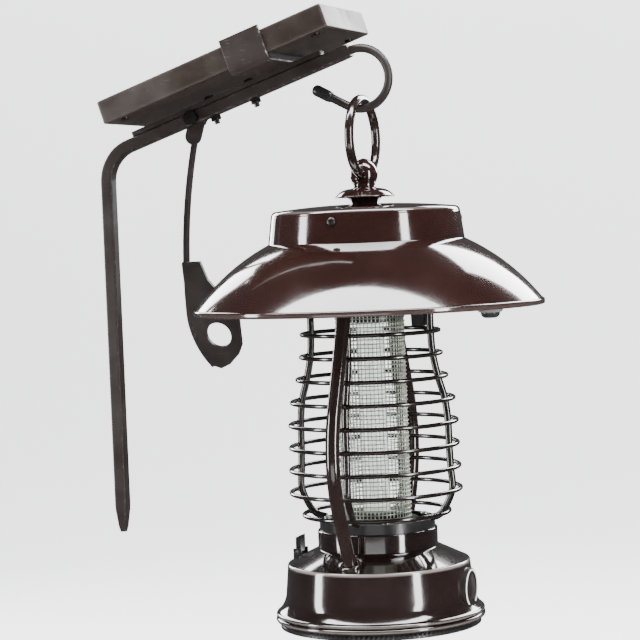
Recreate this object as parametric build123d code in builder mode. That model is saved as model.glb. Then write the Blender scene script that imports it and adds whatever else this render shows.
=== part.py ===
"""Solar lantern insect killer on a hooked ground post.

Millimetres, +Z up. The origin is the foot of the post, where it goes into the
ground or its holder. +X runs from the post towards the hanging lantern.
Lantern heights are given from the plane of the shade's rim.
"""
from build123d import *
from math import cos, sin, radians
import os

os.makedirs("parts", exist_ok=True)

# ---------------------------------------------------------------- driving sizes
REACH = 199.0            # post axis to lantern axis
RIM_HEIGHT = 161.0       # shade rim above the post foot
ARM_SLOPE = 18.4         # arm and panel, degrees above level

BAR = 9.0                # square bar of post and arm
BAR_EDGE = 1.2           # rounding of its corners
BEND_R = 27.0            # centreline radius between post and arm
TIP_LENGTH = 18.0        # tapered foot
TIP_SIDE = 5.0

HOOK_WIRE = 6.0
HOOK_R = 21.0            # centreline radius of the hook
HOOK_EYE_Z = 159.2       # hook centre above the rim
HOOK_TAIL = 27.0         # straight end after the round
HOOK_TAIL_SLOPE = 28.0
HOOK_PLUG = 14.0         # rod's depth in the bar's end
TIP_CAP = 16.0           # vinyl cap on the hook's end
TIP_CAP_R = 4.0

PANEL_LENGTH = 181.7
PANEL_WIDTH = 85.0
PANEL_THICK = 16.7
PANEL_END = 3.9          # panel's high end past the arm's end
PANEL_WALL = 3.0
PANEL_LIFT = 9.0         # panel underside above the bar
GLASS_THICK = 3.0
CELL_THICK = 1.0
BACK_THICK = 2.0

RAIL_THICK = 3.5         # plate between bar and saddle
RAIL_WIDTH = 9.0
RAIL_LENGTH = 157.0
RAIL_END = 20.0          # its distance from the arm's end
RAIL_BOLT_AT = (79.0, 112.0)
RAIL_BOLT_R = 2.0

SADDLE_AT = 58.0         # saddle's middle, back from the arm's end
SADDLE_WIDTH = 31.0
SADDLE_SHEET = 2.0
SADDLE_RISE = 2.5        # its sides above the panel's top
SADDLE_SCREW_R = 2.0

STRAP_AT = 128.0         # strap bolt, back from the arm's end
STRAP_LEAN = 21.0        # degrees back from upright
STRAP_LUG_R = 6.0        # round end under the strap bolt
STRAP_WIDTH = 7.0
STRAP_SHEET = 2.6
STRAP_BOLT_R = 3.0
EAR_HOLE_R = 10.0

RING_OUTER = 30.0        # hanging ring, outer radius
RING_WIRE = 6.5

DOME_R = 20.5            # small dome between cap and eye
DOME_FOOT_R = 9.5
DOME_TOP_R = 9.0
DOME_TALL = 11.0
DOME_RIM = 4.6           # height of the dome's edge above the cap
HANGER_STUD = 12.0       # stud below the cap's crown
HANGER_STUD_R = 3.0
HANGER_NUT = 5.0

SHADE_R = 122.5
SHADE_TOP_R = 68.6
SHADE_TOP_Z = 46.0
SHADE_WALL = 1.6
CAP_TOP_R = 66.1
CAP_TOP_Z = 68.0
CAP_CROWN = 4.0          # dome of the cap's top
CAP_WALL = 2.0
CAP_FLAT_R = 12.0        # level seat round the hanger
SHADE_BULGE = 3.980      # rise of its curve off a straight slope
COVER_THICK = 2.0        # plate that closes the shade from below
COVER_R = SHADE_R - 5.0

CAGE_PITCH = 15.8
CAGE_FIRST_Z = -17.6
CAGE_RADII = (48.0, 49.0, 52.2, 56.6, 58.3, 58.5, 59.0, 59.4, 51.0)
CAGE_WIRE = 3.0
CAGE_BAR = 5.0
STRUT_BAR_TOP = -11.5    # where the bars behind the struts begin

STRUT_DIA = 9.6
STRUT_TOP_R = 43.0 + STRUT_DIA / 2
STRUT_FOOT_R = 56.0
STRUT_BEND = (84.3 + STRUT_DIA / 2, -101.3)
STRUT_BEND_R = 90.0
FERRULE_R = STRUT_DIA / 2 + 2.8
FERRULE_TALL = 3.2

GRID_R = 24.0
GRID_WALL = 0.8
GRID_TOP = -3.0
GRID_BOTTOM = -148.0
TUBE_R = 9.0
HOLDER_R = 40.5
COLLAR_R = 42.0
COLLAR_TOP = -154.75
COLLAR_BOTTOM = -167.5
BASE_RIM_R = 64.0
BASE_RIM_Z = -178.2
BASE_FOOT_R = 73.2
BASE_FOOT_Z = -218.0
BASE_WALL = 2.2
BASE_FLARE = 18.0        # height of the flared foot
TRAY_BOTTOM = -222.0
TRAY_CUP_R = 58.0
TRAY_CUP_TOP = -190.0
TRAY_FLANGE_R = 70.5
BADGE_R = 14.0
BADGE_Z = -196.0

BUTTON_AT = SHADE_R - 18.5   # power button from the lantern axis
BUTTON_ANGLE = -18.7
BUTTON_R = 6.5
BUTTON_TRAVEL = 2.0

RUN = 0.3                # gap between bodies that move past each other
FIT = 0.05               # clearance round a fixed fastener

# ---------------------------------------------------------------- shared places
SIN, COS = sin(radians(ARM_SLOPE)), cos(radians(ARM_SLOPE))
AXIS = Axis((REACH, 0, 0), (0, 0, 1))
SECTION = Plane((REACH, 0, RIM_HEIGHT), x_dir=(1, 0, 0), z_dir=(0, -1, 0))
ARM_END = Vector(REACH - HOOK_R * SIN, 0, RIM_HEIGHT + HOOK_EYE_Z + HOOK_R * COS)
# local x runs up along the arm, local y is +Y, local z stands off the arm
ARM = Plane(ARM_END, x_dir=(COS, 0, SIN), z_dir=(-SIN, 0, COS))
ARM_SIDE = Plane(ARM_END, x_dir=(COS, 0, SIN), z_dir=(0, -1, 0))


def level(z):
    """Horizontal plane on the lantern axis, z above the shade's rim."""
    return Plane((REACH, 0, RIM_HEIGHT + z))


def arm_level(w):
    """Plane parallel to the arm's top, w above the bar's axis."""
    return ARM.offset(w)


def finish(piece, name):
    """Label one finished piece and write it."""
    piece.part.label = name
    export_step(piece.part, "parts/" + name + ".step")


# ---------------------------------------------------------------- bracket bar
corner = ARM_END - ARM.x_dir * (ARM_END.X / COS)
with BuildPart() as bracket_bar:
    with BuildLine() as bar_path:
        FilletPolyline((0, 0, TIP_LENGTH), corner, ARM_END, radius=BEND_R)
    with BuildSketch(Plane.XY.offset(TIP_LENGTH)) as bar_section:
        RectangleRounded(BAR, BAR, BAR_EDGE)
    sweep()
    with BuildSketch(Plane.XY):
        RectangleRounded(TIP_SIDE, TIP_SIDE, BAR_EDGE)
    with BuildSketch(Plane.XY.offset(TIP_LENGTH)):
        RectangleRounded(BAR, BAR, BAR_EDGE)
    loft()
    # socket for the hook rod in the arm's end
    with BuildSketch(Plane(ARM_END, x_dir=(0, 1, 0), z_dir=ARM.x_dir)):
        Circle(HOOK_WIRE / 2 + FIT)
    extrude(amount=-HOOK_PLUG, mode=Mode.SUBTRACT)
    # holes for the rail bolts
    with BuildSketch(arm_level(0)):
        with Locations(*[(-at, 0) for at in RAIL_BOLT_AT]):
            Circle(RAIL_BOLT_R + FIT)
    extrude(amount=BAR, both=True, mode=Mode.SUBTRACT)
    # hole for the strap bolt
    with BuildSketch(ARM_SIDE):
        with Locations((-STRAP_AT, 0)):
            Circle(STRAP_BOLT_R + FIT)
    extrude(amount=BAR, both=True, mode=Mode.SUBTRACT)
finish(bracket_bar, "bracket_bar")

# ---------------------------------------------------------------- hook
HOOK_CENTRE = Vector(REACH, 0, RIM_HEIGHT + HOOK_EYE_Z)


def hook_point(angle):
    """Point of the hook's centreline, degrees clockwise from its top."""
    a = radians(angle)
    return HOOK_CENTRE + Vector(HOOK_R * sin(a), 0, HOOK_R * cos(a))


tail_start = hook_point(180 + HOOK_TAIL_SLOPE)
tail_dir = Vector(-cos(radians(HOOK_TAIL_SLOPE)), 0, sin(radians(HOOK_TAIL_SLOPE)))
tail_end = tail_start + tail_dir * HOOK_TAIL
with BuildPart() as hook_rod:
    with BuildLine() as hook_path:
        Line(ARM_END - ARM.x_dir * (HOOK_PLUG - 1), ARM_END)
        ThreePointArc(ARM_END, hook_point(95), tail_start)
        Line(tail_start, tail_end)
    with BuildSketch(Plane(hook_path.line @ 0, x_dir=(0, 1, 0), z_dir=ARM.x_dir)):
        Circle(HOOK_WIRE / 2)
    sweep()
finish(hook_rod, "hook_rod")

with BuildPart() as hook_tip_cap:
    with BuildSketch(Plane(tail_end - tail_dir * (TIP_CAP - 2), x_dir=(0, 1, 0), z_dir=tail_dir)):
        Circle(TIP_CAP_R)
    extrude(amount=TIP_CAP)
    fillet(hook_tip_cap.edges().group_by(Axis(tail_end, tail_dir))[-1], 1.6)
    with BuildSketch(Plane(tail_end, x_dir=(0, 1, 0), z_dir=tail_dir)):
        Circle(HOOK_WIRE / 2 + FIT)
    extrude(amount=-TIP_CAP, mode=Mode.SUBTRACT)
finish(hook_tip_cap, "hook_tip_cap")

# ---------------------------------------------------------------- rail and its bolts
RAIL_TOP = BAR / 2 + RAIL_THICK
with BuildPart() as panel_rail:
    with BuildSketch(arm_level(BAR / 2)):
        with Locations((-RAIL_END - RAIL_LENGTH / 2, 0)):
            RectangleRounded(RAIL_LENGTH, RAIL_WIDTH, 1.5)
        with Locations(*[(-at, 0) for at in RAIL_BOLT_AT]):
            Circle(RAIL_BOLT_R + FIT, mode=Mode.SUBTRACT)
        with Locations(*[(-SADDLE_AT + dx, 0) for dx in (-8, 8)]):
            Circle(SADDLE_SCREW_R + FIT, mode=Mode.SUBTRACT)
    extrude(amount=RAIL_THICK)
finish(panel_rail, "panel_rail")

RAIL_HEAD = 2.0
with BuildPart() as rail_bolts:
    with BuildSketch(arm_level(-BAR / 2 - 6)):
        with Locations(*[(-at, 0) for at in RAIL_BOLT_AT]):
            Circle(RAIL_BOLT_R)
    extrude(amount=6 + BAR + RAIL_THICK)
    with BuildSketch(arm_level(RAIL_TOP)):
        with Locations(*[(-at, 0) for at in RAIL_BOLT_AT]):
            Circle(2 * RAIL_BOLT_R)
    extrude(amount=RAIL_HEAD, taper=15)
finish(rail_bolts, "rail_bolts")

with BuildPart() as rail_nuts:
    with BuildSketch(arm_level(-BAR / 2)):
        with Locations(*[(-at, 0) for at in RAIL_BOLT_AT]):
            RegularPolygon(RAIL_BOLT_R * 2, 6)
            Circle(RAIL_BOLT_R + FIT, mode=Mode.SUBTRACT)
    extrude(amount=-3.2)
finish(rail_nuts, "rail_nuts")

# ---------------------------------------------------------------- panel saddle
PANEL_LOW = BAR / 2 + PANEL_LIFT
PAD_THICK = PANEL_LIFT - RAIL_THICK - SADDLE_SHEET
SADDLE_IN = PANEL_WIDTH / 2 + 0.1
SADDLE_TALL = SADDLE_SHEET + PAD_THICK + PANEL_THICK + SADDLE_RISE
with BuildPart() as panel_saddle:
    with BuildSketch(arm_level(RAIL_TOP)):
        with Locations((-SADDLE_AT, 0)):
            Rectangle(SADDLE_WIDTH, 2 * (SADDLE_IN + SADDLE_SHEET))
    extrude(amount=SADDLE_TALL)
    fillet(panel_saddle.edges().filter_by(lambda e: abs((e % 0).dot(ARM.x_dir)) > 0.99)
           .group_by(Axis(ARM_END, ARM.z_dir))[0], 2.5)
    with BuildSketch(arm_level(RAIL_TOP + SADDLE_SHEET)):
        with Locations((-SADDLE_AT, 0)):
            Rectangle(SADDLE_WIDTH + 2, 2 * SADDLE_IN)
    extrude(amount=SADDLE_TALL, mode=Mode.SUBTRACT)
    with BuildSketch(arm_level(RAIL_TOP)):
        with Locations(*[(-SADDLE_AT + dx, 0) for dx in (-8, 8)]):
            Circle(SADDLE_SCREW_R + FIT)
    extrude(amount=SADDLE_SHEET, mode=Mode.SUBTRACT)
finish(panel_saddle, "panel_saddle")

with BuildPart() as saddle_pad:
    with BuildSketch(arm_level(RAIL_TOP + SADDLE_SHEET)):
        with Locations((-SADDLE_AT, 0)):
            Rectangle(SADDLE_WIDTH - 1, 2 * SADDLE_IN - 6)
        with Locations(*[(-SADDLE_AT + dx, 0) for dx in (-8, 8)]):
            Circle(2 * SADDLE_SCREW_R + 0.3, mode=Mode.SUBTRACT)
    extrude(amount=PAD_THICK)
finish(saddle_pad, "saddle_pad")

with BuildPart() as saddle_screws:
    with BuildSketch(arm_level(RAIL_TOP - RAIL_THICK)):
        with Locations(*[(-SADDLE_AT + dx, 0) for dx in (-8, 8)]):
            Circle(SADDLE_SCREW_R)
    extrude(amount=RAIL_THICK + SADDLE_SHEET)
    with BuildSketch(arm_level(RAIL_TOP + SADDLE_SHEET)):
        with Locations(*[(-SADDLE_AT + dx, 0) for dx in (-8, 8)]):
            Circle(2 * SADDLE_SCREW_R)
    extrude(amount=2.0)
finish(saddle_screws, "saddle_screws")

# ---------------------------------------------------------------- solar panel
PANEL_MID = PANEL_END - PANEL_LENGTH / 2
PANEL_TOP = PANEL_LOW + PANEL_THICK
BACK_SCREW_R = 1.5
back_screws_at = [(PANEL_MID + dx, dy) for dx in (-78, 78) for dy in (-32, 32)]
with BuildPart() as panel_frame:
    with BuildSketch(arm_level(PANEL_LOW)):
        with Locations((PANEL_MID, 0)):
            Rectangle(PANEL_LENGTH, PANEL_WIDTH)
    extrude(amount=PANEL_THICK)
    chamfer(panel_frame.edges().filter_by(lambda e: abs((e % 0).dot(ARM.z_dir)) < 0.01), 0.9)
    with BuildSketch(arm_level(PANEL_TOP)):
        with Locations((PANEL_MID, 0)):
            Rectangle(PANEL_LENGTH - 2 * PANEL_WALL, PANEL_WIDTH - 2 * PANEL_WALL)
    extrude(amount=-GLASS_THICK - CELL_THICK, mode=Mode.SUBTRACT)
    with BuildSketch(arm_level(PANEL_LOW)):
        with Locations((PANEL_MID, 0)):
            Rectangle(PANEL_LENGTH - 2 * PANEL_WALL, PANEL_WIDTH - 2 * PANEL_WALL)
    extrude(amount=BACK_THICK, mode=Mode.SUBTRACT)
    # hollow under the cells, with four screw posts left standing
    with BuildSketch(arm_level(PANEL_LOW + BACK_THICK)):
        with Locations((PANEL_MID, 0)):
            Rectangle(PANEL_LENGTH - 4 * PANEL_WALL, PANEL_WIDTH - 4 * PANEL_WALL)
        with Locations(*back_screws_at):
            Circle(4, mode=Mode.SUBTRACT)
    extrude(amount=PANEL_THICK - BACK_THICK - GLASS_THICK - CELL_THICK - 1.5, mode=Mode.SUBTRACT)
    with BuildSketch(arm_level(PANEL_LOW + BACK_THICK)):
        with Locations(*back_screws_at):
            Circle(BACK_SCREW_R + FIT)
    extrude(amount=7, mode=Mode.SUBTRACT)
finish(panel_frame, "panel_frame")

with BuildPart() as panel_back_cover:
    with BuildSketch(arm_level(PANEL_LOW)):
        with Locations((PANEL_MID, 0)):
            Rectangle(PANEL_LENGTH - 2 * PANEL_WALL - 0.4, PANEL_WIDTH - 2 * PANEL_WALL - 0.4)
        with Locations(*back_screws_at):
            Circle(BACK_SCREW_R + FIT, mode=Mode.SUBTRACT)
    extrude(amount=BACK_THICK)
finish(panel_back_cover, "panel_back_cover")

with BuildPart() as panel_back_screws:
    with BuildSketch(arm_level(PANEL_LOW - 1.4)):
        with Locations(*back_screws_at):
            Circle(3)
    extrude(amount=1.4)
    with BuildSketch(arm_level(PANEL_LOW)):
        with Locations(*back_screws_at):
            Circle(BACK_SCREW_R)
    extrude(amount=BACK_THICK + 6)
finish(panel_back_screws, "panel_back_screws")

with BuildPart() as solar_cells:
    with BuildSketch(arm_level(PANEL_TOP - GLASS_THICK - CELL_THICK)):
        with Locations((PANEL_MID, 0)):
            Rectangle(PANEL_LENGTH - 2 * PANEL_WALL - 0.4, PANEL_WIDTH - 2 * PANEL_WALL - 0.4)
    extrude(amount=CELL_THICK)
finish(solar_cells, "solar_cells")

with BuildPart() as panel_glass:
    with BuildSketch(arm_level(PANEL_TOP - GLASS_THICK)):
        with Locations((PANEL_MID, 0)):
            Rectangle(PANEL_LENGTH - 2 * PANEL_WALL - 0.4, PANEL_WIDTH - 2 * PANEL_WALL - 0.4)
    extrude(amount=GLASS_THICK - 0.5)
finish(panel_glass, "panel_glass")

# ---------------------------------------------------------------- wall strap
strap_bolt_at = ARM_END - ARM.x_dir * STRAP_AT
strap_root = strap_bolt_at + Vector(0, BAR / 2 + RUN, 0)
LEAN_SIN, LEAN_COS = sin(radians(STRAP_LEAN)), cos(radians(STRAP_LEAN))
STRAP_NECK = (-2.8, -10.6)
# plane of the strap's curve: local x is +X, local y climbs along the strap
STRAP = Plane(strap_root + Vector(0, STRAP_NECK[1] * LEAN_SIN + STRAP_SHEET / 2, 0),
              x_dir=(1, 0, 0), z_dir=(0, -LEAN_COS, -LEAN_SIN))
STRAP_BOW = (-24.8, -78.0)
STRAP_TURN = (-38.3, -152.0)
STRAP_FOOT = (-27.0, -196.5)
EAR_HOLE = (-16.6, -171.2)
EAR_CORNERS = [(-35.0, -112.0), (-20.0, -112.0), (-17.0, -126.0), (2.5, -156.0), (0.5, -180.0),
               (-4.0, -188.0), (-12.0, -195.5), (-20.0, -199.0), STRAP_FOOT, (-34.0, -182.0),
               STRAP_TURN, (-37.0, -135.0)]
with BuildPart() as wall_strap:
    # upper lug, flat against the bar's far side
    with BuildSketch(Plane(strap_root, x_dir=(1, 0, 0), z_dir=(0, -1, 0))):
        SlotCenterPoint((-2, -6.4), (0, 0), 2 * STRAP_LUG_R)
    extrude(amount=-STRAP_SHEET)
    # bowed band, its face turned along the arm
    with BuildSketch(STRAP):
        with BuildLine():
            upper_bow = ThreePointArc(STRAP_NECK, STRAP_BOW, STRAP_TURN)
            TangentArc(STRAP_TURN, STRAP_FOOT, tangent=upper_bow % 1)
            offset(amount=STRAP_SHEET / 2, side=Side.BOTH)
        make_face()
    extrude(amount=-STRAP_WIDTH)
    # ear that faces forward, with the eye
    with BuildSketch(STRAP):
        with BuildLine():
            Polyline(*EAR_CORNERS, close=True)
        make_face()
        with Locations(EAR_HOLE):
            Circle(EAR_HOLE_R, mode=Mode.SUBTRACT)
    extrude(amount=-STRAP_SHEET)
    with BuildSketch(Plane(strap_root, x_dir=(1, 0, 0), z_dir=(0, -1, 0))):
        Circle(STRAP_BOLT_R + FIT)
    extrude(amount=-STRAP_SHEET, mode=Mode.SUBTRACT)
finish(wall_strap, "wall_strap")

STRAP_STACK = BAR + RUN + STRAP_SHEET
with BuildPart() as strap_bolt:
    with BuildSketch(Plane(strap_bolt_at - Vector(0, BAR / 2, 0), x_dir=(1, 0, 0), z_dir=(0, 1, 0))):
        Circle(STRAP_BOLT_R)
    extrude(amount=STRAP_STACK + 7)
    with BuildSketch(Plane(strap_bolt_at - Vector(0, BAR / 2, 0), x_dir=(1, 0, 0), z_dir=(0, -1, 0))):
        RegularPolygon(STRAP_BOLT_R * 1.9, 6)
    extrude(amount=4)
finish(strap_bolt, "strap_bolt")

with BuildPart() as strap_nut:
    with BuildSketch(Plane(strap_root + Vector(0, STRAP_SHEET + RUN, 0), x_dir=(1, 0, 0),
                           z_dir=(0, 1, 0))):
        RegularPolygon(STRAP_BOLT_R * 1.9, 6)
        Circle(STRAP_BOLT_R, mode=Mode.SUBTRACT)
    extrude(amount=5)
finish(strap_nut, "strap_nut")

# ---------------------------------------------------------------- hanging ring
RING_R = RING_OUTER - RING_WIRE / 2
HOOK_SEAT = HOOK_EYE_Z - HOOK_R + HOOK_WIRE / 2
RING_Z = HOOK_SEAT + RUN + RING_WIRE / 2 - RING_R
RING_PLANE = Plane((REACH, 0, RIM_HEIGHT + RING_Z), x_dir=(0, 1, 0), z_dir=(1, 0, 0))
with BuildPart() as hanging_ring:
    with BuildLine(RING_PLANE) as ring_line:
        CenterArc((0, 0), RING_R, 0, 360)
    with BuildSketch(Plane(ring_line.line @ 0, z_dir=ring_line.line % 0)):
        Circle(RING_WIRE / 2)
    sweep()
finish(hanging_ring, "hanging_ring")

# ---------------------------------------------------------------- hanger on the cap
EYE_Z = RING_Z - RING_R              # ring wire's lowest centre
LUG_R = 9.5
LUG_Z = EYE_Z + 3.0
LUG_HOLE_R = RING_WIRE / 2 + 2 * RUN
CROWN_Z = CAP_TOP_Z + CAP_CROWN
DOME_TOP = CROWN_Z + DOME_TALL
DOME_RIM_Z = CROWN_Z + DOME_RIM
NECK_R = 7.6
NECK_TOP = LUG_Z - 8.25
with BuildPart() as hanger_eye:
    with BuildSketch(SECTION) as eye_outline:
        with BuildLine():
            Polyline((NECK_R + 0.6, DOME_TOP), (NECK_R, DOME_TOP + 1.5), (NECK_R, NECK_TOP))
            ThreePointArc((NECK_R, NECK_TOP), (LUG_R, LUG_Z), (0, LUG_Z + LUG_R))
            Polyline((0, LUG_Z + LUG_R), (0, CROWN_Z - HANGER_STUD), (HANGER_STUD_R, CROWN_Z - HANGER_STUD),
                     (HANGER_STUD_R, DOME_TOP), (NECK_R + 0.6, DOME_TOP))
        make_face()
    revolve(axis=AXIS)
    # passage for the ring, flared so that the ring can tilt
    with BuildSketch(SECTION):
        with Locations((0, EYE_Z)):
            Circle(LUG_HOLE_R)
    revolve(axis=Axis((REACH, 0, RIM_HEIGHT + RING_Z), (1, 0, 0)), mode=Mode.SUBTRACT)
finish(hanger_eye, "hanger_eye")

with BuildPart() as hanger_dome:
    with BuildSketch(SECTION):
        with BuildLine():
            Line((HANGER_STUD_R + FIT, CROWN_Z), (DOME_FOOT_R, CROWN_Z))
            ThreePointArc((DOME_FOOT_R, CROWN_Z), (DOME_FOOT_R + 1.5, DOME_RIM_Z - 1.2),
                          (DOME_R, DOME_RIM_Z))
            ThreePointArc((DOME_R, DOME_RIM_Z), (DOME_R - 3.5, DOME_TOP - 2.6), (DOME_TOP_R, DOME_TOP))
            Polyline((DOME_TOP_R, DOME_TOP), (HANGER_STUD_R + FIT, DOME_TOP),
                     (HANGER_STUD_R + FIT, CROWN_Z))
        make_face()
    revolve(axis=AXIS)
finish(hanger_dome, "hanger_dome")

with BuildPart() as hanger_nut:
    with BuildSketch(level(CROWN_Z - CAP_WALL - 0.1)):
        RegularPolygon(2 * HANGER_STUD_R + 0.5, 6)
        Circle(HANGER_STUD_R + FIT, mode=Mode.SUBTRACT)
    extrude(amount=-HANGER_NUT)
finish(hanger_nut, "hanger_nut")

# ---------------------------------------------------------------- cap
CAP_SCREW_R = 2.0
CAP_SCREW_Z = 60.5
CAP_SCREW_ANGLES = (-90, 30, 150)
UPSTAND_R = CAP_TOP_R - CAP_WALL - 1.6
CAP_MID_R = (CAP_FLAT_R + CAP_TOP_R - 2.1) / 2
with BuildPart() as canopy_cap:
    with BuildSketch(SECTION) as cap_outline:
        with BuildLine():
            Line((HANGER_STUD_R + FIT, CROWN_Z), (CAP_FLAT_R, CROWN_Z))
            ThreePointArc((CAP_FLAT_R, CROWN_Z), (CAP_MID_R, CAP_TOP_Z + 3),
                          (CAP_TOP_R - 3, CAP_TOP_Z + 0.5))
            ThreePointArc((CAP_TOP_R - 3, CAP_TOP_Z + 0.5), (CAP_TOP_R - 0.7, CAP_TOP_Z - 0.7),
                          (CAP_TOP_R, CAP_TOP_Z - 3))
            Line((CAP_TOP_R, CAP_TOP_Z - 3), (SHADE_TOP_R, SHADE_TOP_Z))
            Line((SHADE_TOP_R, SHADE_TOP_Z), (SHADE_TOP_R - CAP_WALL, SHADE_TOP_Z))
            Line((SHADE_TOP_R - CAP_WALL, SHADE_TOP_Z), (CAP_TOP_R - CAP_WALL, CAP_TOP_Z - 4))
            ThreePointArc((CAP_TOP_R - CAP_WALL, CAP_TOP_Z - 4), (CAP_MID_R, CAP_TOP_Z + 3 - CAP_WALL),
                          (CAP_FLAT_R, CROWN_Z - CAP_WALL))
            Line((CAP_FLAT_R, CROWN_Z - CAP_WALL), (HANGER_STUD_R + FIT, CROWN_Z - CAP_WALL))
            Line((HANGER_STUD_R + FIT, CROWN_Z - CAP_WALL), (HANGER_STUD_R + FIT, CROWN_Z))
        make_face()
    revolve(axis=AXIS)
    with Locations(level(CAP_SCREW_Z)):
        with PolarLocations(UPSTAND_R, 3, start_angle=CAP_SCREW_ANGLES[0]):
            Cylinder(CAP_SCREW_R + FIT, 20, rotation=(0, 90, 0), mode=Mode.SUBTRACT)
finish(canopy_cap, "canopy_cap")

CAP_OUT = CAP_TOP_R + (SHADE_TOP_R - CAP_TOP_R) * (CAP_TOP_Z - CAP_SCREW_Z) / (CAP_TOP_Z - SHADE_TOP_Z)
with BuildPart() as cap_screws:
    for angle in CAP_SCREW_ANGLES:
        out = Vector(cos(radians(angle)), sin(radians(angle)), 0)
        seat = Vector(REACH, 0, RIM_HEIGHT + CAP_SCREW_Z) + out * (CAP_OUT + 0.6)
        with BuildSketch(Plane(seat, z_dir=out)):
            Circle(CAP_SCREW_R)
        extrude(amount=-(CAP_OUT - UPSTAND_R + 4))
        with BuildSketch(Plane(seat, z_dir=out)):
            Circle(CAP_SCREW_R * 2)
        extrude(amount=1.8, taper=25)
finish(cap_screws, "cap_screws")

# ---------------------------------------------------------------- shade
LIP_Z = 1.5
UPSTAND_TALL = 20.0
BOSS_AT = COVER_R - 21.5
BOSS_R = 4.0
COVER_SCREW_R = 1.5


def shade_outline(inset):
    """Closed half section of the shade, drawn in by the wall when asked."""
    rim = SHADE_R - inset
    top = SHADE_TOP_R - inset * 0.55
    fall = inset * 0.83
    SagittaArc((top, SHADE_TOP_Z - fall), (rim - 1.5, LIP_Z + 1.0 - inset * 0.3), SHADE_BULGE)
    Line((rim - 1.5, LIP_Z + 1.0 - inset * 0.3), (rim, LIP_Z - inset * 0.3))
    Line((rim, LIP_Z - inset * 0.3), (rim, -LIP_Z))
    Line((rim, -LIP_Z), (0, -LIP_Z))
    Line((0, -LIP_Z), (0, SHADE_TOP_Z - fall))
    Line((0, SHADE_TOP_Z - fall), (top, SHADE_TOP_Z - fall))


with BuildPart() as shade_shell:
    with BuildSketch(SECTION):
        with BuildLine():
            shade_outline(0)
        make_face()
    revolve(axis=AXIS)
    with BuildSketch(SECTION):
        with BuildLine():
            shade_outline(SHADE_WALL)
        make_face()
    revolve(axis=AXIS, mode=Mode.SUBTRACT)
    # opening under the cap, with the upstand that the cap's screws hold
    with BuildSketch(level(SHADE_TOP_Z - 8)):
        Circle(UPSTAND_R - 2)
    extrude(amount=20, mode=Mode.SUBTRACT)
    with BuildSketch(level(SHADE_TOP_Z - SHADE_WALL)):
        Circle(UPSTAND_R)
        Circle(UPSTAND_R - 2.5, mode=Mode.SUBTRACT)
    extrude(amount=UPSTAND_TALL)

with BuildPart() as shade:
    # screw bosses first, trimmed to the shade's own outline
    with BuildSketch(level(COVER_THICK)):
        with PolarLocations(BOSS_AT, 6, start_angle=15):
            Circle(BOSS_R)
    extrude(amount=SHADE_TOP_Z)
    with BuildSketch(SECTION):
        with BuildLine():
            shade_outline(SHADE_WALL / 2)
        make_face()
    revolve(axis=AXIS, mode=Mode.INTERSECT)
    add(shade_shell.part)
    with BuildSketch(level(COVER_THICK)):
        with PolarLocations(BOSS_AT, 6, start_angle=15):
            Circle(COVER_SCREW_R + FIT)
    extrude(amount=10, mode=Mode.SUBTRACT)
    with Locations(level(CAP_SCREW_Z)):
        with PolarLocations(UPSTAND_R, 3, start_angle=CAP_SCREW_ANGLES[0]):
            Cylinder(CAP_SCREW_R + FIT, 20, rotation=(0, 90, 0), mode=Mode.SUBTRACT)
finish(shade, "shade")

# ---------------------------------------------------------------- cover under the shade
button_turn = radians(BUTTON_ANGLE)
BUTTON_XY = (BUTTON_AT * cos(button_turn), BUTTON_AT * sin(button_turn))
with BuildPart() as shade_cover:
    with BuildSketch(level(0)):
        Circle(COVER_R)
        with PolarLocations(BOSS_AT, 6, start_angle=15):
            Circle(COVER_SCREW_R + FIT, mode=Mode.SUBTRACT)
        with Locations(BUTTON_XY):
            Circle(BUTTON_R + RUN, mode=Mode.SUBTRACT)
    extrude(amount=COVER_THICK)
    # standoffs for the circuit board
    with BuildSketch(level(COVER_THICK)):
        with Locations((0, -42)):
            with GridLocations(60, 32, 2, 2):
                Circle(3)
    extrude(amount=5)
finish(shade_cover, "shade_cover")

with BuildPart() as cover_screws:
    with BuildSketch(level(-1.6)):
        with PolarLocations(BOSS_AT, 6, start_angle=15):
            Circle(3)
    extrude(amount=1.6)
    with BuildSketch(level(0)):
        with PolarLocations(BOSS_AT, 6, start_angle=15):
            Circle(COVER_SCREW_R)
    extrude(amount=COVER_THICK + 9)
finish(cover_screws, "cover_screws")

# ---------------------------------------------------------------- electronics
with BuildPart() as battery_pack:
    with BuildSketch(level(COVER_THICK)):
        with Locations((0, 34)):
            RectangleRounded(76, 42, 4)
    extrude(amount=21)
finish(battery_pack, "battery_pack")

with BuildPart() as circuit_board:
    with BuildSketch(level(COVER_THICK + 5)):
        with Locations((0, -42)):
            Rectangle(72, 44)
    extrude(amount=1.6)
finish(circuit_board, "circuit_board")

with BuildPart() as transformer:
    with BuildSketch(level(COVER_THICK + 6.6)):
        with Locations((-16, -42)):
            Rectangle(24, 20)
    extrude(amount=16)
finish(transformer, "transformer")

# ---------------------------------------------------------------- power button
with BuildPart() as button_bezel:
    with BuildSketch(level(0)):
        with Locations(BUTTON_XY):
            Circle(BUTTON_R + 2.5)
            Circle(BUTTON_R + RUN, mode=Mode.SUBTRACT)
    extrude(amount=-4, taper=12)
finish(button_bezel, "button_bezel")

BUTTON_HEAD = 0.3
with BuildPart() as power_button:
    with BuildSketch(level(-8)):
        with Locations(BUTTON_XY):
            Circle(BUTTON_R)
    extrude(amount=8 - BUTTON_HEAD)
    fillet(power_button.edges().group_by(Axis.Z)[0], 1.8)
    with BuildSketch(level(-BUTTON_HEAD)):
        with Locations(BUTTON_XY):
            Circle(2)
    extrude(amount=6)
finish(power_button, "power_button")

with BuildPart() as switch_body:
    with BuildSketch(level(COVER_THICK)):
        with Locations(BUTTON_XY):
            Rectangle(12, 12)
            Circle(2 + RUN, mode=Mode.SUBTRACT)
    extrude(amount=BUTTON_TRAVEL + 5)
finish(switch_body, "switch_body")

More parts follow.
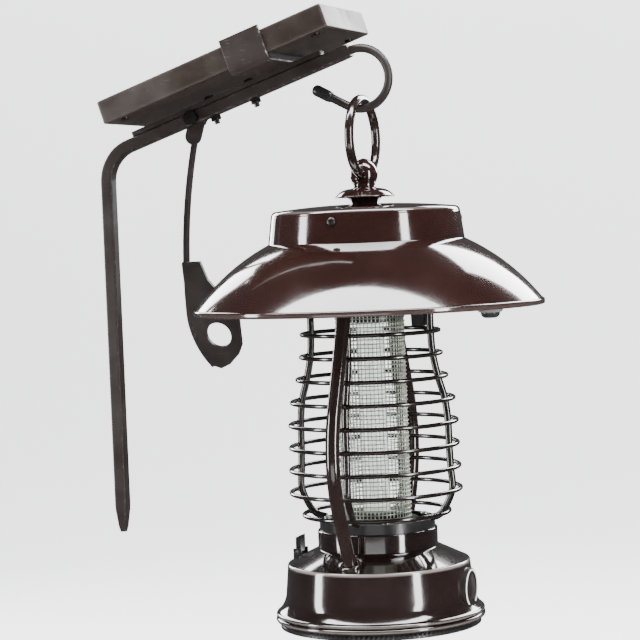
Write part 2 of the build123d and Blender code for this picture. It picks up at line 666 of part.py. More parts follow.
# ---------------------------------------------------------------- killing grid and lamp
SPIGOT_R = GRID_R - GRID_WALL - FIT
with BuildPart() as grid_top_holder:
    with BuildSketch(level(GRID_TOP)):
        Circle(GRID_R + 5)
    extrude(amount=-GRID_TOP)
    with BuildSketch(level(GRID_TOP - 7)):
        Circle(SPIGOT_R)
        Circle(TUBE_R + FIT, mode=Mode.SUBTRACT)
    extrude(amount=7)
finish(grid_top_holder, "grid_top_holder")

TERMINAL_SIZE = (11.0, 13.0, 14.0)
with BuildPart() as terminal_box:
    with BuildSketch(level(0)):
        with Locations((GRID_R + 11.4, 6)):
            RectangleRounded(TERMINAL_SIZE[0], TERMINAL_SIZE[1], 2)
    extrude(amount=-TERMINAL_SIZE[2], taper=2)
finish(terminal_box, "terminal_box")

WINDOW_TALL = 10.0
WINDOW_WIDE = 5.4
GRID_TALL = GRID_TOP - GRID_BOTTOM
with BuildPart() as killing_grid:
    with BuildSketch(level(GRID_BOTTOM)):
        Circle(GRID_R)
        Circle(GRID_R - GRID_WALL, mode=Mode.SUBTRACT)
    extrude(amount=GRID_TALL)
    for row in range(9):
        z = GRID_BOTTOM + 14 + (row + 0.5) * (GRID_TALL - 28) / 9
        with Locations(level(z)):
            for turn in range(9):
                Box(2 * GRID_R + 4, WINDOW_WIDE, WINDOW_TALL, rotation=(0, 0, turn * 20),
                    mode=Mode.SUBTRACT)
finish(killing_grid, "killing_grid")

with BuildPart() as uv_tube:
    with BuildSketch(level(GRID_BOTTOM)):
        Circle(TUBE_R)
    extrude(amount=GRID_TALL)
    fillet(uv_tube.edges(), 1.0)
finish(uv_tube, "uv_tube")

with BuildPart() as grid_base_holder:
    with BuildSketch(level(COLLAR_TOP)):
        Circle(HOLDER_R)
    extrude(amount=GRID_BOTTOM - COLLAR_TOP)
    with BuildSketch(level(GRID_BOTTOM)):
        Circle(SPIGOT_R)
        Circle(TUBE_R + FIT, mode=Mode.SUBTRACT)
    extrude(amount=5)
    # slots that dead insects fall through
    with BuildSketch(level(COLLAR_TOP)):
        for side in (0, 90, 180, 270):
            with BuildLine():
                CenterArc((0, 0), HOLDER_R - 8.5, side + 22, 46)
                offset(amount=3.5, side=Side.BOTH)
            make_face()
    extrude(amount=GRID_BOTTOM - COLLAR_TOP, mode=Mode.SUBTRACT)
finish(grid_base_holder, "grid_base_holder")

# ---------------------------------------------------------------- cage rings
for index, radius in enumerate(CAGE_RADII):
    ring_z = CAGE_FIRST_Z - index * CAGE_PITCH
    with BuildPart() as cage_ring:
        with BuildSketch(SECTION):
            with Locations((radius, ring_z)):
                Circle(CAGE_WIRE / 2)
        revolve(axis=AXIS)
    finish(cage_ring, f"cage_ring_{index + 1:02d}")

# ---------------------------------------------------------------- cage bars
BAR_IN = CAGE_WIRE / 2 + CAGE_BAR / 2 - 0.6
bar_points = [(CAGE_RADII[0] - BAR_IN, 0)]
for index, radius in enumerate(CAGE_RADII[:-1]):
    bar_points.append((radius - BAR_IN, CAGE_FIRST_Z - index * CAGE_PITCH))
bar_points.append((CAGE_RADII[-1] - BAR_IN, CAGE_FIRST_Z - 8 * CAGE_PITCH))
BAR_FOOT = (HOLDER_R - CAGE_BAR / 2, GRID_BOTTOM)
bar_points.append(BAR_FOOT)
for index in range(4):
    # the bars behind the struts start below them
    bar_top = 0 if index % 2 == 0 else STRUT_BAR_TOP
    with BuildPart() as cage_bar:
        with BuildLine(SECTION) as bar_line:
            Spline(*bar_points)
        with BuildSketch(Plane(bar_line.line @ 0, z_dir=bar_line.line % 0)):
            Circle(CAGE_BAR / 2)
        sweep()
        for ring_index, radius in enumerate(CAGE_RADII):
            with BuildSketch(SECTION):
                with Locations((radius, CAGE_FIRST_Z - ring_index * CAGE_PITCH)):
                    Circle(CAGE_WIRE / 2 + 0.02)
            revolve(axis=AXIS, mode=Mode.SUBTRACT)
        with BuildSketch(level(bar_top)):
            Circle(COVER_R)
        extrude(amount=20, mode=Mode.SUBTRACT)
        with BuildSketch(level(GRID_BOTTOM)):
            Circle(COVER_R)
        extrude(amount=-20, mode=Mode.SUBTRACT)
    cage_bar.part = cage_bar.part.rotate(AXIS, 90 * index)
    finish(cage_bar, f"cage_bar_{index + 1:02d}")

# ---------------------------------------------------------------- base outline
CONE_FALL = (COLLAR_BOTTOM - BASE_RIM_Z) / (BASE_RIM_R - COLLAR_R)
FLARE_Z = BASE_FOOT_Z + BASE_FLARE


def cone_z(radius):
    """Height of the base's sloping top at a radius."""
    return COLLAR_BOTTOM - (radius - COLLAR_R) * CONE_FALL


def base_outline(inset):
    """Outside of the base from its cone top down to its foot."""
    Line((COLLAR_R - 6, COLLAR_BOTTOM - inset), (COLLAR_R, COLLAR_BOTTOM - inset))
    Line((COLLAR_R, COLLAR_BOTTOM - inset), (BASE_RIM_R - inset, BASE_RIM_Z - inset * 0.6))
    Line((BASE_RIM_R - inset, BASE_RIM_Z - inset * 0.6), (BASE_RIM_R + 2 - inset, FLARE_Z))
    ThreePointArc((BASE_RIM_R + 2 - inset, FLARE_Z), (BASE_RIM_R + 4.4 - inset, FLARE_Z - 6.5),
                  (BASE_FOOT_R - 1.4 - inset, BASE_FOOT_Z + 7.0))
    ThreePointArc((BASE_FOOT_R - 1.4 - inset, BASE_FOOT_Z + 7.0), (BASE_FOOT_R - inset, BASE_FOOT_Z + 5.4),
                  (BASE_FOOT_R - 1.2 - inset, BASE_FOOT_Z + 3.8))
    ThreePointArc((BASE_FOOT_R - 1.2 - inset, BASE_FOOT_Z + 3.8),
                  (BASE_FOOT_R + 0.3 - inset, BASE_FOOT_Z + 1.9),
                  (BASE_FOOT_R - 1.2 - inset, BASE_FOOT_Z))


# ---------------------------------------------------------------- struts and ferrules
STRUT_FOOT_Z = cone_z(STRUT_FOOT_R)
foot_run = Vector(STRUT_BEND[0] - STRUT_FOOT_R, STRUT_BEND[1] - STRUT_FOOT_Z)
foot_dir = foot_run.normalized()
side_plane = Plane((REACH, 0, RIM_HEIGHT), x_dir=(0, -1, 0), z_dir=(-1, 0, 0))
for name, turn in (("strut_near", 0), ("strut_far", 180)):
    with BuildPart() as strut:
        with BuildLine(side_plane) as strut_line:
            FilletPolyline((STRUT_TOP_R, 0), STRUT_BEND,
                           (STRUT_FOOT_R - foot_dir.X * 5, STRUT_FOOT_Z - foot_dir.Y * 5),
                           radius=STRUT_BEND_R)
        with BuildSketch(Plane(strut_line.line @ 0, z_dir=strut_line.line % 0)):
            Circle(STRUT_DIA / 2)
        sweep()
        with BuildSketch(level(0)):
            Circle(COVER_R)
        extrude(amount=20, mode=Mode.SUBTRACT)
    strut.part = strut.part.rotate(AXIS, turn)
    finish(strut, name)


def strut_foot(side):
    """Plane on the base's slope where a strut stands, -1 near and 1 far."""
    at = Vector(REACH, side * STRUT_FOOT_R, RIM_HEIGHT + STRUT_FOOT_Z)
    return Plane(at, x_dir=(1, 0, 0), z_dir=(0, side * foot_dir.X, foot_dir.Y))


def base_block():
    """Closed half section of the whole base, for trimming what sits on it."""
    base_outline(0)
    Polyline((BASE_FOOT_R - 1.2, BASE_FOOT_Z), (0, BASE_FOOT_Z), (0, COLLAR_BOTTOM),
             (COLLAR_R - 6, COLLAR_BOTTOM))


with BuildPart() as strut_ferrules:
    for side in (-1, 1):
        with BuildSketch(strut_foot(side).offset(-2)):
            Circle(FERRULE_R)
        extrude(amount=FERRULE_TALL + 2, taper=6)
        with BuildSketch(strut_foot(side).offset(-3)):
            Circle(STRUT_DIA / 2 + FIT)
        extrude(amount=10, mode=Mode.SUBTRACT)
    with BuildSketch(SECTION):
        with BuildLine():
            base_block()
        make_face()
    revolve(axis=AXIS, mode=Mode.SUBTRACT)
finish(strut_ferrules, "strut_ferrules")

# ---------------------------------------------------------------- collar
with BuildPart() as collar:
    with BuildSketch(level(COLLAR_BOTTOM)):
        Circle(COLLAR_R)
        Circle(COLLAR_R - 2.5, mode=Mode.SUBTRACT)
    extrude(amount=COLLAR_TOP - COLLAR_BOTTOM)
    fillet(collar.edges().group_by(Axis.Z)[-1].sort_by(SortBy.LENGTH)[-1], 1.0)
finish(collar, "collar")

# ---------------------------------------------------------------- base shell
LATCH_AT = 59.0
LATCH_WIDE = 9.0
with BuildPart() as base_shell:
    with BuildSketch(SECTION):
        with BuildLine():
            base_outline(0)
            Polyline((BASE_FOOT_R - 1.2, BASE_FOOT_Z), (BASE_FOOT_R - 5, BASE_FOOT_Z),
                     (BASE_RIM_R + 1.0 - BASE_WALL, FLARE_Z - 3),
                     (BASE_RIM_R - BASE_WALL, BASE_RIM_Z - 1.5),
                     (COLLAR_R - 2, COLLAR_BOTTOM - BASE_WALL), (COLLAR_R - 6, COLLAR_BOTTOM - BASE_WALL),
                     (COLLAR_R - 6, COLLAR_BOTTOM))
        make_face()
    revolve(axis=AXIS)
    for side in (-1, 1):
        with BuildSketch(strut_foot(side)):
            Circle(STRUT_DIA / 2 + FIT)
        extrude(amount=7, both=True, mode=Mode.SUBTRACT)
finish(base_shell, "base_shell")

with BuildPart() as badge:
    with BuildSketch(Plane((REACH + BASE_RIM_R - 4, 0, RIM_HEIGHT + BADGE_Z), x_dir=(0, 1, 0),
                           z_dir=(1, 0, 0))):
        Circle(BADGE_R)
    extrude(amount=7.6)
    fillet(badge.edges().sort_by(Axis.X)[-1], 0.8)
    with BuildSketch(SECTION):
        with BuildLine():
            base_block()
        make_face()
    revolve(axis=AXIS, mode=Mode.SUBTRACT)
finish(badge, "badge")

# ---------------------------------------------------------------- base latch
LATCH_PIN_R = 1.2
LATCH_PIN_Z = cone_z(LATCH_AT) + 3.4
with BuildPart() as latch_bracket:
    with BuildSketch(level(cone_z(LATCH_AT) - 5)):
        with Locations((-LATCH_AT, 0)):
            Rectangle(6, LATCH_WIDE + 2 * RUN + 4)
    extrude(amount=5 + 5.4)
    with BuildSketch(level(cone_z(LATCH_AT) - 5)):
        with Locations((-LATCH_AT, 0)):
            Rectangle(8, LATCH_WIDE + 2 * RUN)
    extrude(amount=20, mode=Mode.SUBTRACT)
    with BuildSketch(SECTION):
        with BuildLine():
            base_block()
        make_face()
    revolve(axis=AXIS, mode=Mode.SUBTRACT)
    with BuildSketch(Plane((REACH - LATCH_AT, 0, RIM_HEIGHT + LATCH_PIN_Z), x_dir=(1, 0, 0),
                           z_dir=(0, -1, 0))):
        Circle(LATCH_PIN_R + FIT)
    extrude(amount=LATCH_WIDE, both=True, mode=Mode.SUBTRACT)
finish(latch_bracket, "latch_bracket")

with BuildPart() as latch_pin:
    with BuildSketch(Plane((REACH - LATCH_AT, 0, RIM_HEIGHT + LATCH_PIN_Z), x_dir=(1, 0, 0),
                           z_dir=(0, -1, 0))):
        Circle(LATCH_PIN_R)
    extrude(amount=LATCH_WIDE / 2 + RUN + 2, both=True)
finish(latch_pin, "latch_pin")

with BuildPart() as base_latch:
    with BuildSketch(Plane((REACH - LATCH_AT, 0, RIM_HEIGHT + LATCH_PIN_Z), x_dir=(1, 0, 0),
                           z_dir=(0, -1, 0))):
        with BuildLine():
            Line((1.9, 0), (1.9, 11.6))
            Line((1.9, 11.6), (-1.7, 9.8))
            Line((-1.7, 9.8), (-1.9, 0))
            ThreePointArc((-1.9, 0), (0, -1.9), (1.9, 0))
        make_face()
        Circle(LATCH_PIN_R + FIT, mode=Mode.SUBTRACT)
    extrude(amount=LATCH_WIDE / 2, both=True)
finish(base_latch, "base_latch")

# ---------------------------------------------------------------- catch tray
with BuildPart() as catch_tray:
    with BuildSketch(SECTION):
        with BuildLine():
            Polyline((0, TRAY_BOTTOM), (TRAY_FLANGE_R, TRAY_BOTTOM), (TRAY_FLANGE_R, BASE_FOOT_Z - RUN),
                     (TRAY_CUP_R, BASE_FOOT_Z - RUN), (TRAY_CUP_R, TRAY_CUP_TOP),
                     (TRAY_CUP_R - 2, TRAY_CUP_TOP),
                     (TRAY_CUP_R - 2, TRAY_BOTTOM + 2.5), (0, TRAY_BOTTOM + 2.5), (0, TRAY_BOTTOM))
        make_face()
    revolve(axis=AXIS)
    # finger grip across the underside
    with BuildSketch(level(TRAY_BOTTOM)):
        Circle(26)
        Rectangle(8, 60, mode=Mode.SUBTRACT)
    extrude(amount=1.2, mode=Mode.SUBTRACT)
finish(catch_tray, "catch_tray")
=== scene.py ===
"""Solar lantern insect killer hanging from a hooked ground post.

The file follows the object as it is put together: post and arm, hook, panel,
strap, ring, hanger, cap and shade, grid and lamp, cage, struts, base. The
last section is the studio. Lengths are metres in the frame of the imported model.
"""

import bmesh
import bpy
import numpy as np
from mathutils import Matrix, Vector


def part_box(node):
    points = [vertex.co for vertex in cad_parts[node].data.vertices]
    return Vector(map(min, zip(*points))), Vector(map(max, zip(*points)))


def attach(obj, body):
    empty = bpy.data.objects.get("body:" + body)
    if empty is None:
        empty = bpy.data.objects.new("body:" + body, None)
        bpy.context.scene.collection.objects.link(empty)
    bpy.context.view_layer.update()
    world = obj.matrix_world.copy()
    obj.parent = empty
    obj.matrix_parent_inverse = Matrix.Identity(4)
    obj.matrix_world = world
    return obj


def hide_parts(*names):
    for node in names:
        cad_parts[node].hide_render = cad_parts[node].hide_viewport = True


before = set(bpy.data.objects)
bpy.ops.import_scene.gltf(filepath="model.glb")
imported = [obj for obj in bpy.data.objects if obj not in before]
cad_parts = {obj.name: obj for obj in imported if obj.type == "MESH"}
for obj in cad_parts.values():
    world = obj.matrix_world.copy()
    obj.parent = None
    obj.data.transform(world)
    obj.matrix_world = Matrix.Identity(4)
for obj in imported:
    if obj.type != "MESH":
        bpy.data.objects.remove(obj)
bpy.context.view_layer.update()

# ------------------------------------------------------------------ post and arm
# One 9 mm square steel bar is bent from the ground foot into the sloping arm.
# Its corners are slightly rolled and it wears a dark bronze powder coat, rubbed
# through to grey on the corners and nicked where the ground tools touch it.
shade_low, shade_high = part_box("shade")
AXIS_X = (shade_low[0] + shade_high[0]) / 2
LIP_DROP = 0.0015
RIM_Z = shade_low[2] + LIP_DROP
SLOPE = np.radians(18.4)
ALONG = np.array([np.cos(SLOPE), 0, np.sin(SLOPE)])
OFF_ARM = np.array([-np.sin(SLOPE), 0, np.cos(SLOPE)])
ASIDE = np.array([0.0, 1.0, 0.0])
HOOK_R = 0.021
HOOK_RISE = 0.1592
HOOK_Z = RIM_Z + HOOK_RISE
ARM_END = np.array([AXIS_X, 0, HOOK_Z]) + HOOK_R * OFF_ARM
BAR_HALF = 0.0045
BAR_EDGE = 0.0012
BEND_R = 0.027
FOOT_TAPER = 0.018


def corners_rounded(points, radii, steps=9, loop=False):
    """Polyline with each corner swapped for an arc: the arc's centre lies on
    the corner's bisector at radius over the sine of half its angle."""
    p = np.asarray(points, float)
    before = np.roll(p, 1, axis=0) - p
    after = np.roll(p, -1, axis=0) - p
    before /= np.linalg.norm(before, axis=1, keepdims=True)
    after /= np.linalg.norm(after, axis=1, keepdims=True)
    half = np.arccos(np.clip((before * after).sum(axis=1), -1, 1)) / 2
    r = np.broadcast_to(np.asarray(radii, float), half.shape)[:, None]
    mid = before + after
    mid /= np.maximum(np.linalg.norm(mid, axis=1, keepdims=True), 1e-12)
    half = np.maximum(half, 1e-3)[:, None]
    centre = p + mid * r / np.sin(half)
    start = p + before * r / np.tan(half) - centre
    end = p + after * r / np.tan(half) - centre
    turn = np.pi - 2 * half
    share = np.linspace(0, 1, steps)[None, :, None]
    spin = np.maximum(np.sin(turn), 1e-9)[:, :, None]
    arc = (start[:, None] * np.sin((1 - share) * turn[:, :, None])
           + end[:, None] * np.sin(share * turn[:, :, None])) / spin + centre[:, None]
    if not loop:
        arc[0] = p[0]
        arc[-1] = p[-1]
    line = arc.reshape(-1, p.shape[1])
    gap = np.linalg.norm(np.diff(line, axis=0), axis=1)
    return line[np.r_[True, gap > 1e-7]]


def spaced(points, step, loop=False):
    """The same polyline with extra points, so that none lie further apart than
    the step: places are read off the running length."""
    p = np.vstack([points, points[:1]]) if loop else np.asarray(points, float)
    gap = np.linalg.norm(np.diff(p, axis=0), axis=1)
    run = np.r_[0, np.cumsum(gap)]
    extra = np.linspace(0, run[-1], int(run[-1] / step) + 2)
    at = np.unique(np.round(np.r_[run, extra], 7))
    if loop:
        at = at[:-1]
    return np.stack([np.interp(at, run, p[:, i]) for i in range(p.shape[1])], axis=1)


def placed(name, data):
    """New object of a mesh, a light or a camera, linked into the scene."""
    thing = bpy.data.objects.new(name, data)
    bpy.context.scene.collection.objects.link(thing)
    return thing


def joined(name, mesh, gap, sharp, face_out=False):
    """Piece of a mesh whose points within a gap are made one. It is shaded smooth
    except over edges sharper than an angle in degrees."""
    bm = bmesh.new()
    bm.from_mesh(mesh)
    bmesh.ops.remove_doubles(bm, verts=bm.verts, dist=gap)
    if face_out:
        bmesh.ops.recalc_face_normals(bm, faces=bm.faces)
    bm.to_mesh(mesh)
    bm.free()
    mesh.polygons.foreach_set("use_smooth", np.ones(len(mesh.polygons), bool))
    mesh.set_sharp_from_angle(angle=np.radians(sharp))
    return placed(name, mesh)


def full_turn(count):
    """Evenly spaced angles of one whole turn, the last one short of the first."""
    return np.linspace(0, 2 * np.pi, count, endpoint=False)


def skin(name, grid, loop_u=False, loop_v=False, sharp=35, edge=None):
    """Quads between neighbouring points of a grid of rows and columns. A fourth
    axis in front holds copies. Rows that meet in one point are welded."""
    g = np.asarray(grid, float)
    g = g[None] if g.ndim == 3 else g
    copies, rows, cols = g.shape[:3]
    u = np.arange(rows if loop_u else rows - 1)[:, None]
    v = np.arange(cols if loop_v else cols - 1)[None, :]
    first, second = (u + 1) % rows, (v + 1) % cols
    quad = np.stack([u * cols + v, first * cols + v, first * cols + second, u * cols + second],
                    axis=-1)
    quad = quad.reshape(1, -1, 4) + (np.arange(copies) * rows * cols)[:, None, None]
    mesh = bpy.data.meshes.new(name)
    mesh.from_pydata(g.reshape(-1, 3).tolist(), [], quad.reshape(-1, 4).tolist())
    worn = mesh.attributes.new("edge", "FLOAT", "POINT")
    if edge is not None:
        worn.data.foreach_set("value", np.broadcast_to(edge, g.shape[:3]).astype("f").ravel())
    return joined(name, mesh, 2e-7, sharp, face_out=True)


def carry(path, outline, across, swell=None):
    """A flat outline carried along a path: its first measure lies square to the
    path's run, its second along the fixed direction across. Both ends close."""
    p = np.asarray(path, float)
    run = np.gradient(p, axis=0)
    run /= np.linalg.norm(run, axis=1, keepdims=True)
    side = np.cross(np.asarray(across, float), run)
    side /= np.linalg.norm(side, axis=1, keepdims=True)
    size = np.ones(len(p)) if swell is None else np.asarray(swell, float)
    o = np.asarray(outline, float)
    grid = (p[:, None] + side[:, None] * o[None, :, :1] * size[:, None, None]
            + np.asarray(across, float) * o[None, :, 1:] * size[:, None, None])
    return np.concatenate([np.repeat(p[:1, None], len(o), 1), grid,
                           np.repeat(p[-1:, None], len(o), 1)])


def box_outline(wide, tall, corner, step=0.0012, steps=5):
    """Closed rectangle with round corners and extra points along its flats, as
    width and height pairs."""
    w, h = wide / 2, tall / 2
    return spaced(corners_rounded([(-w, -h), (w, -h), (w, h), (-w, h)], corner, steps, loop=True),
                  step, loop=True)


def round_outline(radius, sides):
    """Closed circle of a radius."""
    turn = full_turn(sides)
    return radius * np.stack([np.cos(turn), np.sin(turn)], axis=1)


def outline_edge(outline, limit=0.5):
    """One on an outline's tight corners and nought on its flats, from how far
    the outline turns at each point."""
    o = np.asarray(outline, float)
    a = o - np.roll(o, 1, axis=0)
    b = np.roll(o, -1, axis=0) - o
    turn = np.abs(np.arctan2(a[:, 0] * b[:, 1] - a[:, 1] * b[:, 0], (a * b).sum(axis=1)))
    return np.clip(turn / limit, 0, 1)


def material(name):
    """New node material and its Principled shader."""
    made = bpy.data.materials.new(name)
    made.use_nodes = True
    return made, made.node_tree, made.node_tree.nodes["Principled BSDF"]


def typed(made, **values):
    """Types values onto a node's own sockets or into its settings by name, and
    links what is itself a socket. An underscore stands for a space in a name."""
    for key, value in values.items():
        socket = key.replace("_", " ")
        if isinstance(value, bpy.types.NodeSocket):
            made.id_data.links.new(value, made.inputs[socket])
        elif socket in made.inputs:
            made.inputs[socket].default_value = value
        else:
            setattr(made, key, value)
    return made


def node(tree, kind, **values):
    """Shader node of a kind, with its sockets or settings given by name."""
    return typed(tree.nodes.new(kind), **values)


def combined(tree, operation, first, second):
    """Two sockets put together by an arithmetic operation."""
    made = node(tree, "ShaderNodeMath", operation=operation)
    tree.links.new(first, made.inputs[0])
    tree.links.new(second, made.inputs[1])
    return made.outputs[0]


def pattern(tree, kind, place=None, **values):
    """Texture node of a kind, read in the object's own coordinates or at a place."""
    if place is None:
        place = node(tree, "ShaderNodeTexCoord").outputs["Object"]
    return node(tree, "ShaderNodeTex" + kind, Vector=place, **values)


def mixed(tree, factor, first, second):
    """Colour between two colours, by a mask socket."""
    mix = node(tree, "ShaderNodeMix", data_type="RGBA")
    tree.links.new(factor, mix.inputs[0])
    for socket, colour in ((mix.inputs[6], first), (mix.inputs[7], second)):
        if isinstance(colour, tuple):
            socket.default_value = (*colour, 1)
        else:
            tree.links.new(colour, socket)
    return mix.outputs[2]


def ranged(tree, value, low, high, out_low, out_high):
    """Value carried from one range to another and held inside it."""
    made = node(tree, "ShaderNodeMapRange")
    tree.links.new(value, made.inputs[0])
    for index, number in zip((1, 2, 3, 4), (low, high, out_low, out_high)):
        made.inputs[index].default_value = number
    return made.outputs[0]


def handling_group():
    """Smudges, fine dust and short scratches of a handled outdoor finish: cloudy
    noise, specks from a cell pattern, and noise drawn out along one axis."""
    group = bpy.data.node_groups.new("handling_marks", "ShaderNodeTree")
    float_socket = {"socket_type": "NodeSocketFloat"}
    for name, usual in (("Smudge Size", 30), ("Speck Size", 900)):
        group.interface.new_socket(name, in_out="INPUT", **float_socket).default_value = usual
    for name in ("Smudge", "Specks", "Scratches"):
        group.interface.new_socket(name, in_out="OUTPUT", **float_socket)
    start = group.nodes.new("NodeGroupInput")
    end = group.nodes.new("NodeGroupOutput")
    place = group.nodes.new("ShaderNodeTexCoord").outputs["Object"]
    cloud = pattern(group, "Noise", place, Detail=5.0, Roughness=0.6,
                    Scale=start.outputs["Smudge Size"])
    dots = pattern(group, "Voronoi", place, feature="F1", Scale=start.outputs["Speck Size"])
    chance = pattern(group, "Noise", place, Scale=140.0, Detail=2.0)
    near = ranged(group, dots.outputs["Distance"], 0.16, 0.08, 0, 1)
    here = ranged(group, chance.outputs["Fac"], 0.55, 0.62, 0, 1)
    drawn = node(group, "ShaderNodeMapping", Vector=place, Scale=(60, 60, 1400),
                 Rotation=(0.5, 0.32, 0.2))
    lines = pattern(group, "Noise", drawn.outputs[0], Scale=1.0, Detail=2.0)
    typed(end, Smudge=ranged(group, cloud.outputs["Fac"], 0.38, 0.66, 0, 1),
          Specks=combined(group, "MULTIPLY", near, here),
          Scratches=ranged(group, lines.outputs["Fac"], 0.70, 0.74, 0, 1))
    return group


HANDLING = handling_group()


def handled(tree, smudge_size, speck_size):
    """The handling marks placed in a material."""
    return node(tree, "ShaderNodeGroup", node_tree=HANDLING, Smudge_Size=smudge_size,
                Speck_Size=speck_size).outputs


def bumped(tree, shader, height, strength, distance):
    """Bump from a height socket into a shader's normal."""
    made = node(tree, "ShaderNodeBump", Height=height, Strength=strength, Distance=distance)
    typed(shader, Normal=made.outputs[0])


def powder_coat(name, colour, bare, rough):
    """Baked powder: a soft leathery texture, satin gloss, and the bare colour where
    corners are rubbed or the face is scratched: grey worn metal on the bracket. On
    the saddle the pale bare colour along its marked edges is a painted highlight."""
    made, tree, shader = material(name)
    marks = handled(tree, 26.0, 700.0)
    leather = pattern(tree, "Noise", Scale=1500.0, Detail=3.0, Roughness=0.5)
    patch = pattern(tree, "Noise", Scale=240.0, Detail=4.0)
    corner = node(tree, "ShaderNodeAttribute", attribute_name="edge")
    rub = combined(tree, "MULTIPLY", corner.outputs["Fac"],
                   ranged(tree, patch.outputs["Fac"], 0.54, 0.68, 0, 0.7))
    worn = combined(tree, "MAXIMUM", rub, ranged(tree, marks["Scratches"], 0, 1, 0, 0.25))
    lighter = tuple(min(1, c * 1.5 + 0.002) for c in colour)
    base = mixed(tree, marks["Smudge"], colour, lighter)
    dusty = mixed(tree, ranged(tree, marks["Specks"], 0, 1, 0, 0.45), base, (0.26, 0.24, 0.22))
    typed(shader, Base_Color=mixed(tree, worn, dusty, bare), Specular_IOR_Level=0.55,
          Roughness=ranged(tree, marks["Smudge"], 0, 1, rough, rough + 0.14))
    bumped(tree, shader, leather.outputs["Fac"], 0.22, 0.00025)
    return made


BRACKET_COAT = powder_coat("bracket_coat", (0.013, 0.0088, 0.0076), (0.10, 0.085, 0.075), 0.30)


def settle(piece, body, finish, slot, *nodes):
    """Gives a piece its finish and its body, and hides the nodes it stands for.
    The slot is not used.
    """
    piece.data.materials.clear()
    piece.data.materials.append(finish)
    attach(piece, body)
    if nodes:
        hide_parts(*nodes)
    return piece


def dress(finish, *names):
    """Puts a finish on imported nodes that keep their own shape."""
    for name in names:
        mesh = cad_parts[name].data
        mesh.materials.clear()
        mesh.materials.append(finish)


post_corner = ARM_END - ALONG * (ARM_END[0] / ALONG[0])
bar_line = corners_rounded([(0, 0, 0), post_corner, ARM_END], [0, BEND_R, 0], steps=28)
bar_line = spaced(bar_line, 0.004)
from_foot = np.r_[0, np.cumsum(np.linalg.norm(np.diff(bar_line, axis=0), axis=1))]
bar_swell = np.interp(from_foot, [0, 0.0012, FOOT_TAPER], [0.42, 0.56, 1.0])
bar_swell[-1] = 0.93
bar_outline = box_outline(2 * BAR_HALF, 2 * BAR_HALF, BAR_EDGE)
bar = skin("post_and_arm", carry(bar_line, bar_outline, ASIDE, bar_swell), loop_v=True,
           edge=outline_edge(bar_outline)[None, :])
settle(bar, "bracket", BRACKET_COAT, "bracket_coat", "bracket_bar")

# ------------------------------------------------------------------ hook
# A 6 mm round rod plugs into the arm's end, turns through most of a circle and
# leaves in a short straight tail. It is coated with the bar, and its end is
# dipped in black vinyl so that it doesn't scratch the ring.
ROD_R = 0.003
TAIL_SLOPE = np.radians(28)
TAIL_LENGTH = 0.027
CAP_R = 0.004
CAP_LENGTH = 0.016

TAIL_FROM = np.array([AXIS_X - HOOK_R * np.sin(TAIL_SLOPE), 0,
                      HOOK_Z - HOOK_R * np.cos(TAIL_SLOPE)])
TAIL_RUN = np.array([-np.cos(TAIL_SLOPE), 0, np.sin(TAIL_SLOPE)])
round_turn = np.linspace(-SLOPE, np.pi + TAIL_SLOPE, 70)
hook_round = np.stack([AXIS_X + HOOK_R * np.sin(round_turn), 0 * round_turn,
                       HOOK_Z + HOOK_R * np.cos(round_turn)], axis=1)
hook_line = np.vstack([ARM_END - ALONG * 0.004, hook_round, TAIL_FROM + TAIL_RUN * 0.012,
                       TAIL_FROM + TAIL_RUN * TAIL_LENGTH])
hook = skin("hook_round_rod", carry(hook_line, round_outline(ROD_R, 28), ASIDE), loop_v=True)
settle(hook, "bracket", BRACKET_COAT, "bracket_coat", "hook_rod")


def dipped_vinyl():
    """Black dipped vinyl: wet gloss with a slow sag in the coat."""
    made, tree, shader = material("tip_vinyl")
    sag = pattern(tree, "Noise", Scale=260.0, Detail=1.0)
    black = mixed(tree, sag.outputs["Fac"], (0.008, 0.008, 0.009), (0.016, 0.015, 0.015))
    typed(shader, Base_Color=black,
          Roughness=ranged(tree, sag.outputs["Fac"], 0.3, 0.7, 0.12, 0.26))
    bumped(tree, shader, sag.outputs["Fac"], 0.25, 0.0006)
    return made


tip_at = np.array([0, 0.0012, 0.0030, CAP_LENGTH - 0.0035, CAP_LENGTH - 0.0018, CAP_LENGTH - 0.0006,
                   CAP_LENGTH])
tip_swell = np.array([0.80, 0.95, 1.0, 1.02, 0.90, 0.62, 0.25])
tip_line = TAIL_FROM + TAIL_RUN * (TAIL_LENGTH - CAP_LENGTH + 0.002) + TAIL_RUN * tip_at[:, None]
tip = skin("hook_vinyl_tip", carry(tip_line, round_outline(CAP_R, 28), ASIDE, tip_swell),
           loop_v=True, sharp=75)
settle(tip, "bracket", dipped_vinyl(), "tip_vinyl", "hook_tip_cap")

# ------------------------------------------------------------------ rail, saddle and pad
# A flat steel rail is bolted along the arm. A bent steel saddle is screwed to
# it and grips the panel over a rubber pad. The saddle's cut edges on the hook
# side carry a painted highlight in a pale metal colour.
SADDLE_AT = -0.058
SADDLE_WIDE = 0.031
SHEET = 0.002
panel_low, panel_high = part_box("panel_frame")
PANEL_HALF = (panel_high[1] - panel_low[1]) / 2
RAIL_SHEET = 0.0035
RAIL_TOP = BAR_HALF + RAIL_SHEET
SADDLE_TALL = 0.0247
SADDLE_PLAY = 0.0001
SADDLE_BEND = 0.0026


def on_arm(points):
    """Places given as distance up the arm, sideways, and off the arm's axis."""
    p = np.asarray(points, float)
    return ARM_END + p[..., :1] * ALONG + p[..., 1:2] * ASIDE + p[..., 2:] * OFF_ARM


